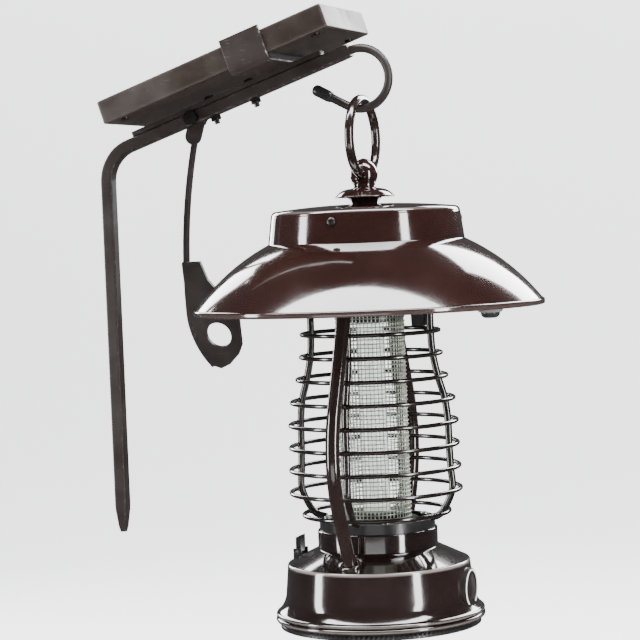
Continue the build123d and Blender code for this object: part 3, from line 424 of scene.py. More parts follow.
half = PANEL_HALF + SADDLE_PLAY + SHEET / 2
lift = RAIL_TOP + SHEET / 2
u_bend = corners_rounded([(half, lift + SADDLE_TALL), (half, lift), (-half, lift),
                          (-half, lift + SADDLE_TALL)], [0, SADDLE_BEND, SADDLE_BEND, 0], steps=10)
u_bend = spaced(u_bend, 0.006)
u_line = on_arm(np.c_[np.full(len(u_bend), SADDLE_AT), u_bend])
saddle_outline = box_outline(SHEET, SADDLE_WIDE, 0.0006)
# The edge mask is one on the hook side's edges only: that is where the painted highlight goes.
saddle = skin("panel_saddle_bent", carry(u_line, saddle_outline, ALONG), loop_v=True,
              edge=(outline_edge(saddle_outline) * (saddle_outline[:, 1] > 0))[None, :])
# The pale bare colour lies along those edges as a painted highlight, and in the scratches as worn
# metal.
SADDLE_COAT_AND_EDGE_HIGHLIGHT = powder_coat("saddle_coat_edge_highlight", (0.016, 0.011, 0.0095), (0.62, 0.60, 0.56), 0.32)
settle(saddle, "bracket", SADDLE_COAT_AND_EDGE_HIGHLIGHT, "bracket_coat", "panel_saddle")
dress(BRACKET_COAT, "panel_rail")


def metal(name, colour, rough, brushed):
    """Bare or blackened metal: gloss broken by fine marks left by tools."""
    made, tree, shader = material(name)
    marks = handled(tree, 60.0, 1100.0)
    fine = pattern(tree, "Noise", Scale=brushed, Detail=4.0)
    typed(shader, Base_Color=mixed(tree, marks["Smudge"], colour, tuple(c * 0.7 for c in colour)),
          Metallic=1.0,
          Roughness=ranged(tree, fine.outputs["Fac"], 0.3, 0.7, rough - 0.08, rough + 0.1))
    bumped(tree, shader, fine.outputs["Fac"], 0.12, 0.0002)
    return made


BLACKENED = metal("blackened_fasteners", (0.10, 0.092, 0.088), 0.30, 1500.0)
ZINC = metal("zinc_plate", (0.62, 0.61, 0.58), 0.26, 1200.0)
dress(BLACKENED, "rail_bolts", "rail_nuts", "saddle_screws", "panel_back_screws")


def moulded(name, colour, rough, grain, coat=0.0):
    """Moulded plastic or rubber: fine spark grain, faint cloudy gloss, dust."""
    made, tree, shader = material(name)
    marks = handled(tree, 34.0, 820.0)
    spark = pattern(tree, "Noise", Scale=grain, Detail=2.0)
    base = mixed(tree, marks["Smudge"], colour, tuple(c * 1.4 + 0.002 for c in colour))
    dusty = mixed(tree, ranged(tree, marks["Specks"], 0, 1, 0, 0.4), base, (0.3, 0.28, 0.26))
    typed(shader, Base_Color=dusty,
          Roughness=ranged(tree, marks["Smudge"], 0, 1, rough, rough + 0.12), Coat_Weight=coat,
          Coat_Roughness=0.08)
    bumped(tree, shader, spark.outputs["Fac"], 0.12, 0.00015)
    return made


PAD_RUBBER = moulded("pad_rubber", (0.014, 0.014, 0.014), 0.62, 1800.0)
BLACK_PLASTIC = moulded("black_plastic", (0.010, 0.010, 0.010), 0.28, 1600.0, 0.2)
dress(PAD_RUBBER, "saddle_pad")

# ------------------------------------------------------------------ solar panel
# A dark brown moulded tray holds a laminate of cells under a clear sheet. A
# back cover with four screws closes it, a fine shadow gap running round it.
PANEL_LONG = 0.1817
PANEL_TALL = 0.0167
PANEL_SEAT = 0.009
PANEL_PAST_ARM = 0.0039
PANEL_FROM = BAR_HALF + PANEL_SEAT
PANEL_MID = PANEL_PAST_ARM - PANEL_LONG / 2
WALL = 0.003
LEDGE = 0.0038
CELL_LONG = 0.0439
CELL_WIDE = 0.0198
PANEL_CORNER = 0.0022


def rounded_frame(half_long, half_wide, corner, steps=7):
    """Closed rectangle walked by its four corner arcs, each drawn about its own
    centre, for arrays of half sizes: rows run round it, columns follow the array."""
    turn = np.concatenate([np.linspace(0, np.pi / 2, steps) + k * np.pi / 2 for k in range(4)])
    sign_x = np.repeat([1, -1, -1, 1], steps)[:, None]
    sign_y = np.repeat([1, 1, -1, -1], steps)[:, None]
    a, b, c = (np.atleast_1d(np.asarray(s, float))[None, :] for s in (half_long, half_wide, corner))
    return np.stack([sign_x * (a - c) + c * np.cos(turn)[:, None],
                     sign_y * (b - c) + c * np.sin(turn)[:, None]], axis=-1)


wall = corners_rounded([(0, 0), (0, PANEL_TALL), (WALL, PANEL_TALL), (WALL, PANEL_TALL - LEDGE),
                        (2 * WALL, PANEL_TALL - LEDGE), (2 * WALL, 0.0022), (WALL, 0.0022),
                        (WALL, 0)],
                       [0.0009, 0.0011, 0.0003, 0.0001, 0.0004, 0.0004, 0.0001, 0.0004], steps=6,
                       loop=True)
wall = spaced(wall, 0.0014, loop=True)
around = rounded_frame(PANEL_LONG / 2 - wall[:, 0], PANEL_HALF - wall[:, 0],
                       np.maximum(PANEL_CORNER - wall[:, 0], 0.0003))
wall_lift = np.broadcast_to(PANEL_FROM + wall[:, 1], around.shape[:2])[..., None]
tray_grid = on_arm(np.concatenate([around[..., :1] + PANEL_MID, around[..., 1:], wall_lift],
                                  axis=-1))
tray = skin("panel_tray", tray_grid, loop_u=True, loop_v=True, edge=outline_edge(wall)[None, :])


def panel_moulding():
    """Dark brown satin moulding: fine grain, pale specks and short scuffs, and
    lighter rubbed edges."""
    made, tree, shader = material("panel_moulding")
    marks = handled(tree, 30.0, 520.0)
    grain = pattern(tree, "Noise", Scale=1400.0, Detail=3.0)
    corner = node(tree, "ShaderNodeAttribute", attribute_name="edge")
    base = mixed(tree, marks["Smudge"], (0.018, 0.012, 0.0095), (0.030, 0.022, 0.018))
    dusty = mixed(tree, ranged(tree, marks["Specks"], 0, 1, 0, 0.55), base, (0.24, 0.21, 0.19))
    scuffed = mixed(tree, ranged(tree, marks["Scratches"], 0, 1, 0, 0.3), dusty, (0.16, 0.14, 0.13))
    rubbed = mixed(tree, ranged(tree, corner.outputs["Fac"], 0, 1, 0, 0.35), scuffed,
                   (0.12, 0.10, 0.09))
    typed(shader, Base_Color=rubbed, Roughness=ranged(tree, marks["Smudge"], 0, 1, 0.30, 0.46))
    bumped(tree, shader, grain.outputs["Fac"], 0.2, 0.00025)
    return made


MOULDING = panel_moulding()
settle(tray, "bracket", MOULDING, "panel_plastic", "panel_frame")
dress(MOULDING, "panel_back_cover")


def cell_laminate():
    """Blue-black cells in a grid with pale gaps, crossed by silver bus lines and
    fine grid fingers. The pattern is turned level with the arm."""
    made, tree, shader = material("solar_cell")
    place = tree.nodes.new("ShaderNodeTexCoord").outputs["Object"]
    first_cell = on_arm((PANEL_MID - PANEL_LONG / 2 + WALL, -PANEL_HALF + WALL, 0))
    level = node(tree, "ShaderNodeMapping", vector_type="TEXTURE", Location=tuple(first_cell),
                 Rotation=(0, -SLOPE, 0), Vector=place)
    bricks = pattern(tree, "Brick", level.outputs[0], offset=0.0, squash=1.0, Scale=1.0,
                     Mortar_Size=0.0007, Mortar_Smooth=0.1,
                     Brick_Width=CELL_LONG, Row_Height=CELL_WIDE,
                     Color1=(0.010, 0.014, 0.045, 1), Color2=(0.014, 0.020, 0.062, 1),
                     Mortar=(0.40, 0.42, 0.45, 1))
    fingers = pattern(tree, "Wave", level.outputs[0], bands_direction="X", Scale=180.0)
    lines = ranged(tree, fingers.outputs["Fac"], 0.95, 0.99, 0, 0.22)
    flakes = pattern(tree, "Voronoi", place, Scale=260.0)
    flaked = ranged(tree, flakes.outputs["Distance"], 0, 1, 0, 0.5)
    crystal = mixed(tree, flaked, bricks.outputs["Color"], (0.016, 0.034, 0.11))
    typed(shader, Base_Color=mixed(tree, lines, crystal, (0.20, 0.22, 0.25)), Roughness=0.30,
          Coat_Weight=0.3)
    return made


def clear_sheet():
    """Clear cover: plain glass with rain marks in its gloss."""
    made, tree, shader = material("panel_glass")
    marks = handled(tree, 18.0, 400.0)
    typed(shader, Base_Color=(0.010, 0.013, 0.018, 1), Alpha=0.20, IOR=1.49, Coat_Weight=0.4,
          Roughness=ranged(tree, marks["Smudge"], 0, 1, 0.03, 0.12))
    return made


dress(cell_laminate(), "solar_cells")
dress(clear_sheet(), "panel_glass")

# ------------------------------------------------------------------ wall strap
# A stamped steel strap hangs on a bolt behind the arm. It ends in an ear with a
# large round hole that takes a wall screw. It is coated like the bracket.
dress(BRACKET_COAT, "wall_strap")
dress(BLACKENED, "strap_bolt", "strap_nut")

# ------------------------------------------------------------------ hanging ring
# A loose ring of 6.5 mm round wire, welded shut and dipped in glossy enamel,
# hangs on the hook and carries the whole lantern through its eye.
ring_low, ring_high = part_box("hanging_ring")
RING_WIRE_R = (ring_high[0] - ring_low[0]) / 2
RING_MID_R = (ring_high[1] - ring_low[1]) / 2 - RING_WIRE_R
RING_MID_Z = (ring_low[2] + ring_high[2]) / 2


def enamel(name, colour, light, rough, ripple):
    """Glossy stoved paint: deep colour, a slow ripple left by the spray, clear
    gloss over it, fine dust, and a pale painted highlight where the edge attribute says."""
    made, tree, shader = material(name)
    marks = handled(tree, 20.0, 640.0)
    peel = pattern(tree, "Noise", Scale=ripple, Detail=2.0)
    corner = node(tree, "ShaderNodeAttribute", attribute_name="edge")
    base = mixed(tree, marks["Smudge"], colour, light)
    dusty = mixed(tree, ranged(tree, marks["Specks"], 0, 1, 0, 0.22), base, (0.22, 0.17, 0.15))
    # Painted highlight: the edge attribute mixes in a pale colour along the cap's top edge, the
    # shade's lip and the base's rim and beads.
    rubbed = mixed(tree, ranged(tree, corner.outputs["Fac"], 0, 1, 0, 0.7), dusty,
                   (0.34, 0.30, 0.28))
    typed(shader, Base_Color=rubbed, Specular_IOR_Level=0.8, Coat_Weight=1.0, Coat_Roughness=0.05,
          Roughness=ranged(tree, marks["Smudge"], 0, 1, rough, rough + 0.07))
    bumped(tree, shader, peel.outputs["Fac"], 0.10, 0.0004)
    return made


ENAMEL = enamel("brown_enamel", (0.0155, 0.0050, 0.0038), (0.0215, 0.0076, 0.0058), 0.08, 160.0)
CAGE_COAT = enamel("cage_coat", (0.0060, 0.0033, 0.0027), (0.0115, 0.0068, 0.0056), 0.14, 900.0)
STRUT_COAT = enamel("strut_coat", (0.0092, 0.0045, 0.0036), (0.0150, 0.0080, 0.0065), 0.12, 500.0)
turn = full_turn(120)[:, None]
wire = full_turn(28)[None, :]
ring_reach = RING_MID_R + RING_WIRE_R * np.cos(wire)
ring_grid = np.stack([AXIS_X + RING_WIRE_R * np.sin(wire) + 0 * turn, ring_reach * np.cos(turn),
                      RING_MID_Z + ring_reach * np.sin(turn)], axis=-1)
settle(skin("hanging_ring_wire", ring_grid, True, True, 180), "ring", STRUT_COAT,
       "strut_coat", "hanging_ring")

# ------------------------------------------------------------------ hanger
# A spun steel dome sits on the cap and a turned eye bolt stands on it, its nut
# inside the cap. The passage through the eye is flared so the ring can swing.


def arc_through(first, middle, last, steps=16):
    """Points of the circle through three points, from the first to the last: its
    centre is where the two chords' bisectors meet."""
    a, b, c = (np.asarray(p, float) for p in (first, middle, last))
    sides = 2 * np.array([b - a, c - a])
    centre = np.linalg.solve(sides, [b @ b - a @ a, c @ c - a @ a])
    angle = np.arctan2(*(np.array([a, b, c]) - centre).T[::-1])
    angle = np.unwrap(angle, period=2 * np.pi)
    share = np.linspace(angle[0], angle[2], steps)
    return centre + np.linalg.norm(a - centre) * np.stack([np.cos(share), np.sin(share)], axis=1)


def round_axis(reach, angle, height):
    """Points at a reach from the lantern's axis, an angle round it and a height
    above the rim."""
    reach, angle, height = np.broadcast_arrays(reach, angle, height)
    return np.stack([AXIS_X + reach * np.cos(angle), reach * np.sin(angle), RIM_Z + height],
                    axis=-1)


def turned(profile, sides):
    """A half section spun about the lantern's axis: radius and height in
    millimetres above the rim, placed at each angle round the axis."""
    p = np.asarray(profile, float) / 1000
    return round_axis(p[:, :1], full_turn(sides)[None, :], p[:, 1:])


def welded(name, source, body, finish, slot):
    """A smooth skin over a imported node: its loose faces are joined, then shaded
    smooth across all but its sharp edges."""
    piece = joined(name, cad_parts[source].data.copy(), 1e-6, 32)
    return settle(piece, body, finish, slot, source)


dome_line = np.vstack([[(3.05, 72)], arc_through((9.5, 72), (11.0, 75.4), (20.5, 76.6), 14),
                       arc_through((20.5, 76.6), (20.9, 77.1), (20.3, 77.6), 6),
                       arc_through((20.2, 77.65), (17.0, 80.6), (9.4, 82.7), 14)[1:],
                       [(9.0, 83.0), (3.05, 83.0)]])
settle(skin("hanger_spun_dome", turned(dome_line, 96), True, True, 40), "lantern", ENAMEL,
       "brown_enamel", "hanger_dome")
welded("hanger_ball_eye", "hanger_eye", "lantern", ENAMEL, "brown_enamel")
dress(ZINC, "hanger_nut")

# ------------------------------------------------------------------ cap
# A deep spun steel cap with a flat top closes the shade. Three small round
# head screws hold its skirt to the shade's upstand.
cap_line = np.vstack([[(3.05, 72), (12, 72)], arc_through((12, 72), (38, 71), (62.6, 68.7), 20)[1:],
                      arc_through((62.6, 68.7), (65.0, 67.6), (66.0, 65.2), 9)[1:],
                      [(66.1, 65), (67.35, 55.5), (68.6, 46), (66.6, 46), (64.1, 64)],
                      arc_through((64.1, 64), (38, 69), (12, 70), 14)[1:], [(3.05, 70)]])
cap_line = spaced(cap_line, 1.3)
# Painted highlight along the cap's rounded top edge.
cap_edge_highlight = np.clip(1 - np.abs(np.linalg.norm(cap_line - (65.2, 67.4), axis=1)) / 1.6, 0, 1)[:, None]
settle(skin("canopy_spun_cap", turned(cap_line, 160), True, True, 38, edge=cap_edge_highlight * 0.5),
       "lantern", ENAMEL, "brown_enamel", "canopy_cap")


def screw_heads(name, seats, out, radius, rise, sides):
    """Round screw heads with a cross recess: a flattened dome whose middle drops
    along two crossed lines, at each seat, standing along its outward direction."""
    seats, out = np.asarray(seats, float), np.asarray(out, float)
    out = out / np.linalg.norm(out, axis=1, keepdims=True)
    prop = np.where(np.abs(out[:, 2:]) > 0.7, [[1.0, 0, 0]], [[0, 0, 1.0]])
    side = np.cross(prop, out)
    side /= np.linalg.norm(side, axis=1, keepdims=True)
    other = np.cross(out, side)
    share = np.array([0, 0.12, 0.26, 0.42, 0.6, 0.78, 0.92, 1.0, 1.0])[:, None]
    spin = full_turn(sides)[None, :]
    x, y = share * np.cos(spin), share * np.sin(spin)
    slot = np.minimum(np.abs(x), np.abs(y)) < 0.09
    slot &= share < 0.5
    z = np.sqrt(np.clip(1 - share ** 2, 0, 1)) * 0.75 + 0.25 - 0.45 * slot
    z[-1] = -0.1
    place = (seats[:, None, None] + radius * (x[..., None] * side[:, None, None]
                                              + y[..., None] * other[:, None, None])
             + rise * z[..., None] * out[:, None, None])
    return skin(name, place, loop_v=True, sharp=50)


def round_places(radius, height, angles):
    """Places at a radius and height round the lantern, and their outward ways."""
    a = np.radians(np.asarray(angles, float))
    out = np.stack([np.cos(a), np.sin(a), 0 * a], axis=1)
    return out * radius + (AXIS_X, 0, RIM_Z + height), out


SKIRT_LEAN = 0.13
cap_seat, cap_out = round_places(0.0670, 0.0605, (-90, 30, 150))
settle(screw_heads("cap_screw_heads", cap_seat, cap_out + (0, 0, SKIRT_LEAN), 0.0030, 0.0016, 28),
       "lantern", BLACKENED, "fastener", "cap_screws")

# ------------------------------------------------------------------ shade
# The wide shade is spun from sheet steel with a small rolled lip. Its gloss is
# deep enough to mirror the sky, and its lip is the darkest line on it.
lip = arc_through((121.0, 2.6), (122.0, 2.35), (122.5, 1.2), 6)
shade_line = np.vstack([arc_through((68.6, 46), (99.6, 25.4), (121.0, 2.6), 48), lip[1:],
                        arc_through((122.5, -0.9), (122.0, -1.45), (121.4, -1.5), 5),
                        [(119.4, -1.4), (119.2, 1.4)],
                        arc_through((119.0, 2.5), (98.6, 24.1), (67.7, 44.6), 36),
                        [(62.5, 44.4), (62.5, 65.0), (60.0, 65.0), (60.0, 46.0)]])
# A faint painted highlight along the shade's lip.
lip_highlight = np.clip(1 - np.abs(shade_line[:, 1]) / 2, 0, 1) * (shade_line[:, 0] > 121)
settle(skin("shade_spun", turned(shade_line, 192), True, True, 38, edge=lip_highlight[:, None] * 0.2),
       "lantern", ENAMEL, "brown_enamel", "shade")

# ------------------------------------------------------------------ cover and electronics
# A black moulded plate closes the shade from below on six screws. The battery,
# the board and its transformer stand on it, out of sight.
dress(BLACK_PLASTIC, "shade_cover", "transformer", "switch_body", "terminal_box")
dress(BLACKENED, "cover_screws")


def plain_coat(name, colour, speckle, rough, size):
    """Flat colour broken by a cell pattern of a size: board mask or film."""
    made, tree, shader = material(name)
    cells = pattern(tree, "Voronoi", Scale=size)
    typed(shader, Base_Color=mixed(tree, cells.outputs["Distance"], colour, speckle),
          Roughness=ranged(tree, cells.outputs["Distance"], 0, 1, rough, rough + 0.15))
    return made


dress(plain_coat("board_mask", (0.010, 0.075, 0.028), (0.05, 0.16, 0.07), 0.3, 420.0),
      "circuit_board")
dress(plain_coat("battery_film", (0.02, 0.06, 0.20), (0.05, 0.12, 0.30), 0.25, 60.0),
      "battery_pack")

# ------------------------------------------------------------------ power button
# A black moulded dome pokes down through a grey bezel near the shade's edge. It
# is pushed up to switch the lantern on.
button_low, button_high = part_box("power_button")
button_at = ((button_low[0] + button_high[0]) / 2, (button_low[1] + button_high[1]) / 2)


def spun_at(profile, centre):
    """A half section in millimetres spun about an upright axis through a place."""
    return turned(profile, 48) + (centre[0] - AXIS_X, centre[1], 0)


button_line = np.vstack([[(0, -8)], arc_through((2.5, -7.9), (5.2, -7.1), (6.5, -4.8), 12),
                         [(6.5, -0.45), (6.3, -0.3), (2, -0.3), (1.9, 5.7), (0, 5.7)]])
bezel_line = [(6.8, 0), (6.8, -3.4), (7.0, -3.9), (7.5, -4.0), (7.9, -3.8), (8.2, -3.2), (9.0, 0)]
settle(skin("power_button_dome", spun_at(button_line, button_at), loop_v=True, sharp=40), "button",
       moulded("button_plastic", (0.009, 0.009, 0.010), 0.14, 1500.0, 0.5), "black_plastic",
       "power_button")
settle(skin("power_button_bezel", spun_at(bezel_line, button_at), True, True, 40), "lantern",
       moulded("bezel_plastic", (0.085, 0.080, 0.078), 0.34, 1500.0), "black_plastic",
       "button_bezel")

# ------------------------------------------------------------------ grid and lamp
# Fine bright wire is welded into a square mesh and rolled into a tube. It is
# held between two black holders, and a white lamp tube glows inside it.
GRID_R = 0.0236
GRID_TOP = -0.0030
GRID_BOTTOM = -0.1480
WIRE_R = 0.00038
HOOP_OUT = 0.0007
UPRIGHTS = 54
HOOPS = 50

sides6 = full_turn(6)
upright_at = full_turn(UPRIGHTS)
mesh_z = np.linspace(GRID_TOP, GRID_BOTTOM, 13)
wander = 0.00012 * np.sin(mesh_z[None, :, None] * 190 + np.arange(UPRIGHTS)[:, None, None] * 2.4)
reach = GRID_R + WIRE_R * np.cos(sides6) + wander
sway = (WIRE_R * np.sin(sides6) + wander * 1.5) / GRID_R + upright_at[:, None, None]
uprights = round_axis(reach, sway, mesh_z[None, :, None])
BRIGHT_WIRE = metal("bright_wire", (0.62, 0.64, 0.56), 0.34, 2200.0)
settle(skin("grid_upright_wires", uprights, loop_v=True, sharp=180), "lantern", BRIGHT_WIRE,
       "grid_metal", "killing_grid")

hoop_at = np.linspace(GRID_TOP - 0.0015, GRID_BOTTOM + 0.0015, HOOPS)[:, None, None]
turn = full_turn(72)[None, :, None]
dip = 0.00015 * np.sin(3 * turn + hoop_at * 900)
hoops = round_axis(GRID_R + HOOP_OUT + WIRE_R * np.cos(sides6), turn,
                   hoop_at + WIRE_R * np.sin(sides6) + dip)
settle(skin("grid_hoop_wires", hoops, True, True, 180), "lantern", BRIGHT_WIRE, "grid_metal")


def lamp_glass():
    """White coated lamp: glossy glass over an even coat that glows faintly."""
    made, tree, shader = material("lamp_glass")
    coat = pattern(tree, "Noise", Scale=70.0, Detail=3.0)
    white = mixed(tree, coat.outputs["Fac"], (0.88, 0.90, 0.86), (0.80, 0.84, 0.80))
    glow = mixed(tree, coat.outputs["Fac"], (0.85, 0.93, 0.84), (0.70, 0.82, 0.74))
    typed(shader, Base_Color=white, Emission_Color=glow, Emission_Strength=0.65, Roughness=0.08,
          Coat_Weight=0.5)
    return made


tube_line = np.vstack([[(0, -3.0), (8.6, -3.0), (9.0, -3.5), (9.0, -12.5), (8.8, -13.0)],
                       arc_through((7.2, -13.4), (8.5, -14.8), (8.8, -17.0), 8),
                       [(8.8, -75), (8.8, -134)],
                       arc_through((8.8, -134.0), (8.5, -136.2), (7.2, -137.6), 8)[1:],
                       [(8.8, -138.0), (9.0, -138.5), (9.0, -147.5), (8.6, -148.0), (0, -148.0)]])
settle(skin("lamp_tube", turned(tube_line, 64), loop_v=True, sharp=40), "lantern", lamp_glass(),
       "lamp", "uv_tube")

top_holder = [(0, 0), (29, 0), (29, -2.4), (28.4, -3.0), (23.1, -3.0), (23.1, -9.4), (22.5, -10.0),
              (9.05, -10.0), (9.05, -3.0), (0, -3.0)]
settle(skin("grid_top_socket", turned(top_holder, 96), True, True, 30), "lantern", BLACK_PLASTIC,
       "black_plastic", "grid_top_holder")
welded("grid_base_socket", "grid_base_holder", "lantern", BLACK_PLASTIC, "black_plastic")
holder_seat, holder_out = round_places(0.0352, GRID_BOTTOM, (-98, -60, -12, 38, 92, 144, 196, 234))
straight_up = 0 * holder_out + (0, 0, 1)
settle(screw_heads("holder_screw_heads", holder_seat, straight_up, 0.0027, 0.0019, 24), "lantern",
       ZINC, "zinc")

# ------------------------------------------------------------------ cage rings
# Nine rings of 3 mm round wire, each rolled and butt welded, swell and close in
# as they go down. They keep fingers off the grid.
CAGE_RADII = np.array([48.0, 49.0, 52.2, 56.6, 58.3, 58.5, 59.0, 59.4, 51.0]) / 1000
CAGE_FIRST = -0.0176
CAGE_PITCH = 0.0158
CAGE_WIRE_R = 0.0015
ring_z = CAGE_FIRST - CAGE_PITCH * np.arange(len(CAGE_RADII))
wire = full_turn(16)[None, :]
for count, (radius, height) in enumerate(zip(CAGE_RADII, ring_z)):
    hoop = round_axis(radius + CAGE_WIRE_R * np.cos(wire), full_turn(144)[:, None],
                      height + CAGE_WIRE_R * np.sin(wire))
    settle(skin(f"cage_hoop_{count + 1:02d}", hoop, True, True, 180), "lantern", CAGE_COAT,
           "cage_coat", f"cage_ring_{count + 1:02d}")

# ------------------------------------------------------------------ cage bars
# Four 5 mm upright bars stand inside the rings, spot welded to each. The welds
# leave small smooth blobs under the paint.
BAR_R = 0.0025
WELD_SINK = 0.0006
BAR_IN = CAGE_WIRE_R + BAR_R - WELD_SINK
BAR_FOOT_R = 0.0405
SHORT_BAR_TOP = -0.0115
BLOB_OUT, BLOB_DEEP, BLOB_WIDE, BLOB_TALL = 0.0002, 0.0016, 0.0034, 0.0020
QUARTERS = np.radians([0, 90, 180, 270])
bar_r = np.r_[CAGE_RADII[0] - BAR_IN, CAGE_RADII - BAR_IN, BAR_FOOT_R - BAR_R]
bar_z = np.r_[0, ring_z, GRID_BOTTOM]


def smooth_through(points, steps=9):
    """Curve through its points: between two of them it is the cubic whose ends
    run parallel to the chords of their neighbours."""
    p = np.asarray(points, float)
    q = np.vstack([2 * p[0] - p[1], p, 2 * p[-1] - p[-2]])
    t = np.linspace(0, 1, steps, endpoint=False)[None, :, None]
    a, b, c, d = (q[i:len(q) - 3 + i, None] for i in range(4))
    line = 0.5 * (2 * b + (c - a) * t + (2 * a - 5 * b + 4 * c - d) * t ** 2
                  + (3 * b - a - 3 * c + d) * t ** 3)
    return np.vstack([line.reshape(-1, p.shape[1]), p[-1:]])


for count, turned_by in enumerate(QUARTERS):
    inner = smooth_through(np.c_[bar_r, bar_z])
    inner = inner[inner[:, 1] <= (1e-6 if count % 2 == 0 else SHORT_BAR_TOP)]
    outward = np.array([np.cos(turned_by), np.sin(turned_by), 0])
    line = (np.array([AXIS_X, 0, RIM_Z]) + inner[:, :1] * outward
            + inner[:, 1:] * np.array([0, 0, 1.0]))
    across = np.array([-np.sin(turned_by), np.cos(turned_by), 0])
    upright = skin(f"cage_upright_{count + 1:02d}", carry(line, round_outline(BAR_R, 18), across),
                   loop_v=True, sharp=60)
    settle(upright, "lantern", CAGE_COAT, "cage_coat", f"cage_bar_{count + 1:02d}")

around = full_turn(12)[None, None, :]
up = np.linspace(-np.pi / 2, np.pi / 2, 7)[None, :, None]
blob_turn = np.repeat(QUARTERS, len(ring_z))[:, None, None]
blob_r = np.tile(CAGE_RADII - CAGE_WIRE_R + BLOB_OUT, 4)[:, None, None]
blob_z = np.tile(ring_z, 4)[:, None, None]
out = blob_r + BLOB_DEEP * np.cos(up) * np.cos(around)
over = BLOB_WIDE * np.cos(up) * np.sin(around)
blobs = np.stack([AXIS_X + out * np.cos(blob_turn) - over * np.sin(blob_turn),
                  out * np.sin(blob_turn) + over * np.cos(blob_turn),
                  RIM_Z + blob_z + BLOB_TALL * np.sin(up) + 0 * over], axis=-1)
settle(skin("cage_weld_blobs", blobs, loop_v=True, sharp=180), "lantern", CAGE_COAT, "cage_coat")

# ------------------------------------------------------------------ struts
# Two 9.6 mm steel tubes bow outwards from the shade to the base, one in front
# and one behind. Each stands in a turned ferrule on the base's slope.
STRUT_R = 0.0048
STRUT_TOP_R = 0.0478
STRUT_SINK = 0.004
BOW_R = 0.090
BASE_TOP = -0.1675
BASE_RIM_Z = -0.1782
NECK_R = 0.0420
BASE_RIM_R = 0.0640
CONE_FALL = (BASE_TOP - BASE_RIM_Z) / (BASE_RIM_R - NECK_R)
FOOT_R = 0.0560
FOOT_Z = BASE_TOP - (FOOT_R - NECK_R) * CONE_FALL
foot = np.array([FOOT_R, FOOT_Z])
bend = np.array([0.0891, -0.1013])
inward = (foot - bend) / np.linalg.norm(foot - bend)
bow = corners_rounded([(STRUT_TOP_R, 0), bend, foot + inward * STRUT_SINK], [0, BOW_R, 0], steps=60)
bow = spaced(bow, 0.005)
for name, source, side in (("strut_front", "strut_near", -1), ("strut_back", "strut_far", 1)):
    line = np.c_[np.full(len(bow), AXIS_X), side * bow[:, 0], RIM_Z + bow[:, 1]]
    settle(skin(name, carry(line, round_outline(STRUT_R, 32), (1.0, 0, 0)), loop_v=True, sharp=60),
           "lantern", STRUT_COAT, "strut_coat", source)

ferrule = np.array([(0.0049, -0.0035), (0.0076, -0.0035), (0.0076, 0.0018), (0.0073, 0.0026),
                    (0.0066, 0.0032), (0.0056, 0.0033), (0.0049, 0.0028)])
spin = full_turn(40)[None, :]
rounds = []
for side in (-1, 1):
    upward = np.array([0, -side * inward[0], -inward[1]])
    sideways = np.array([1.0, 0, 0])
    third = np.cross(upward, sideways)
    seat = np.array([AXIS_X, side * FOOT_R, RIM_Z + FOOT_Z])
    r, h = ferrule[:, :1, None], ferrule[:, 1:, None]
    rounds.append(seat + r * (np.cos(spin)[..., None] * sideways + np.sin(spin)[..., None] * third)
                  + h * upward)
settle(skin("strut_turned_ferrules", np.array(rounds), True, True, 40), "lantern", STRUT_COAT,
       "strut_coat", "strut_ferrules")

# ------------------------------------------------------------------ collar and base
# The spun steel base drops from a short collar over a cone to a flared foot,
# where two beads are rolled in. A painted highlight makes the rim of the cone
# its brightest line and lightens the crests of the beads.
# Painted shade: the collar and base take a darker copy of the shade's brown enamel.
SHADED_BASE_ENAMEL = enamel("base_enamel_painted_shade", (0.0078, 0.0038, 0.0031), (0.0125, 0.0066, 0.0054), 0.09, 140.0)
collar_line = np.vstack([[(39.5, -167.5), (39.5, -154.9)],
                         arc_through((40.6, -154.75), (41.7, -155.1), (42.0, -156.0), 7),
                         [(42.0, -167.5)]])
settle(skin("base_collar", turned(collar_line, 128), True, True, 35), "lantern", SHADED_BASE_ENAMEL,
       "brown_enamel", "collar")

base_line = np.vstack([[(36, -167.5), (42.6, -167.7)], arc_through((62.6, -177.5), (63.8, -178.2),
                                                                  (64.1, -179.5), 7),
                       [(65.9, -199)], arc_through((66.0, -200), (68.4, -206.5), (71.8, -211), 14),
                       arc_through((71.8, -211), (73.2, -212.6), (72.0, -214.2), 10)[1:],
                       arc_through((72.0, -214.2), (73.5, -216.1), (72.0, -218), 10)[1:],
                       [(68.2, -218), (62.8, -203), (61.8, -179.7), (40, -169.7), (36, -169.7)]])
base_line = spaced(base_line, 1.3)
# Painted highlight on the cone's rim and on the crests of the foot beads.
rim_near = np.linalg.norm(base_line - (63.8, -178.4), axis=1)
foot_near = np.minimum(np.abs(base_line[:, 1] + 212.6), np.abs(base_line[:, 1] + 216.1))
base_rim_highlight = np.maximum(np.clip(1.5 - rim_near, 0, 1),
                       0.5 * np.clip(1 - foot_near, 0, 1) * (base_line[:, 0] > 72.6))
settle(skin("base_spun_shell", turned(base_line, 160), True, True, 38, edge=base_rim_highlight[:, None]),
       "lantern", SHADED_BASE_ENAMEL, "brown_enamel", "base_shell")

# ------------------------------------------------------------------ badge
# A plain round boss is pressed into the base's side. A thin pale ring and a
# plain raised disc are all it shows.
BADGE_Z = -0.196
BADGE_R = 0.014
BADGE_FACE = 0.0676
BADGE_BACK = 0.0602


def facing_out(profile):
    """A half section spun about a level axis that leaves the base along the arm
    side: radius and distance from the lantern's axis, in metres."""
    p = np.asarray(profile, float)
    angle = full_turn(72)[None, :]
    r, x = p[:, :1], p[:, 1:]
    return np.stack([AXIS_X + x + 0 * angle, r * np.cos(angle),
                     RIM_Z + BADGE_Z + r * np.sin(angle)], axis=-1)


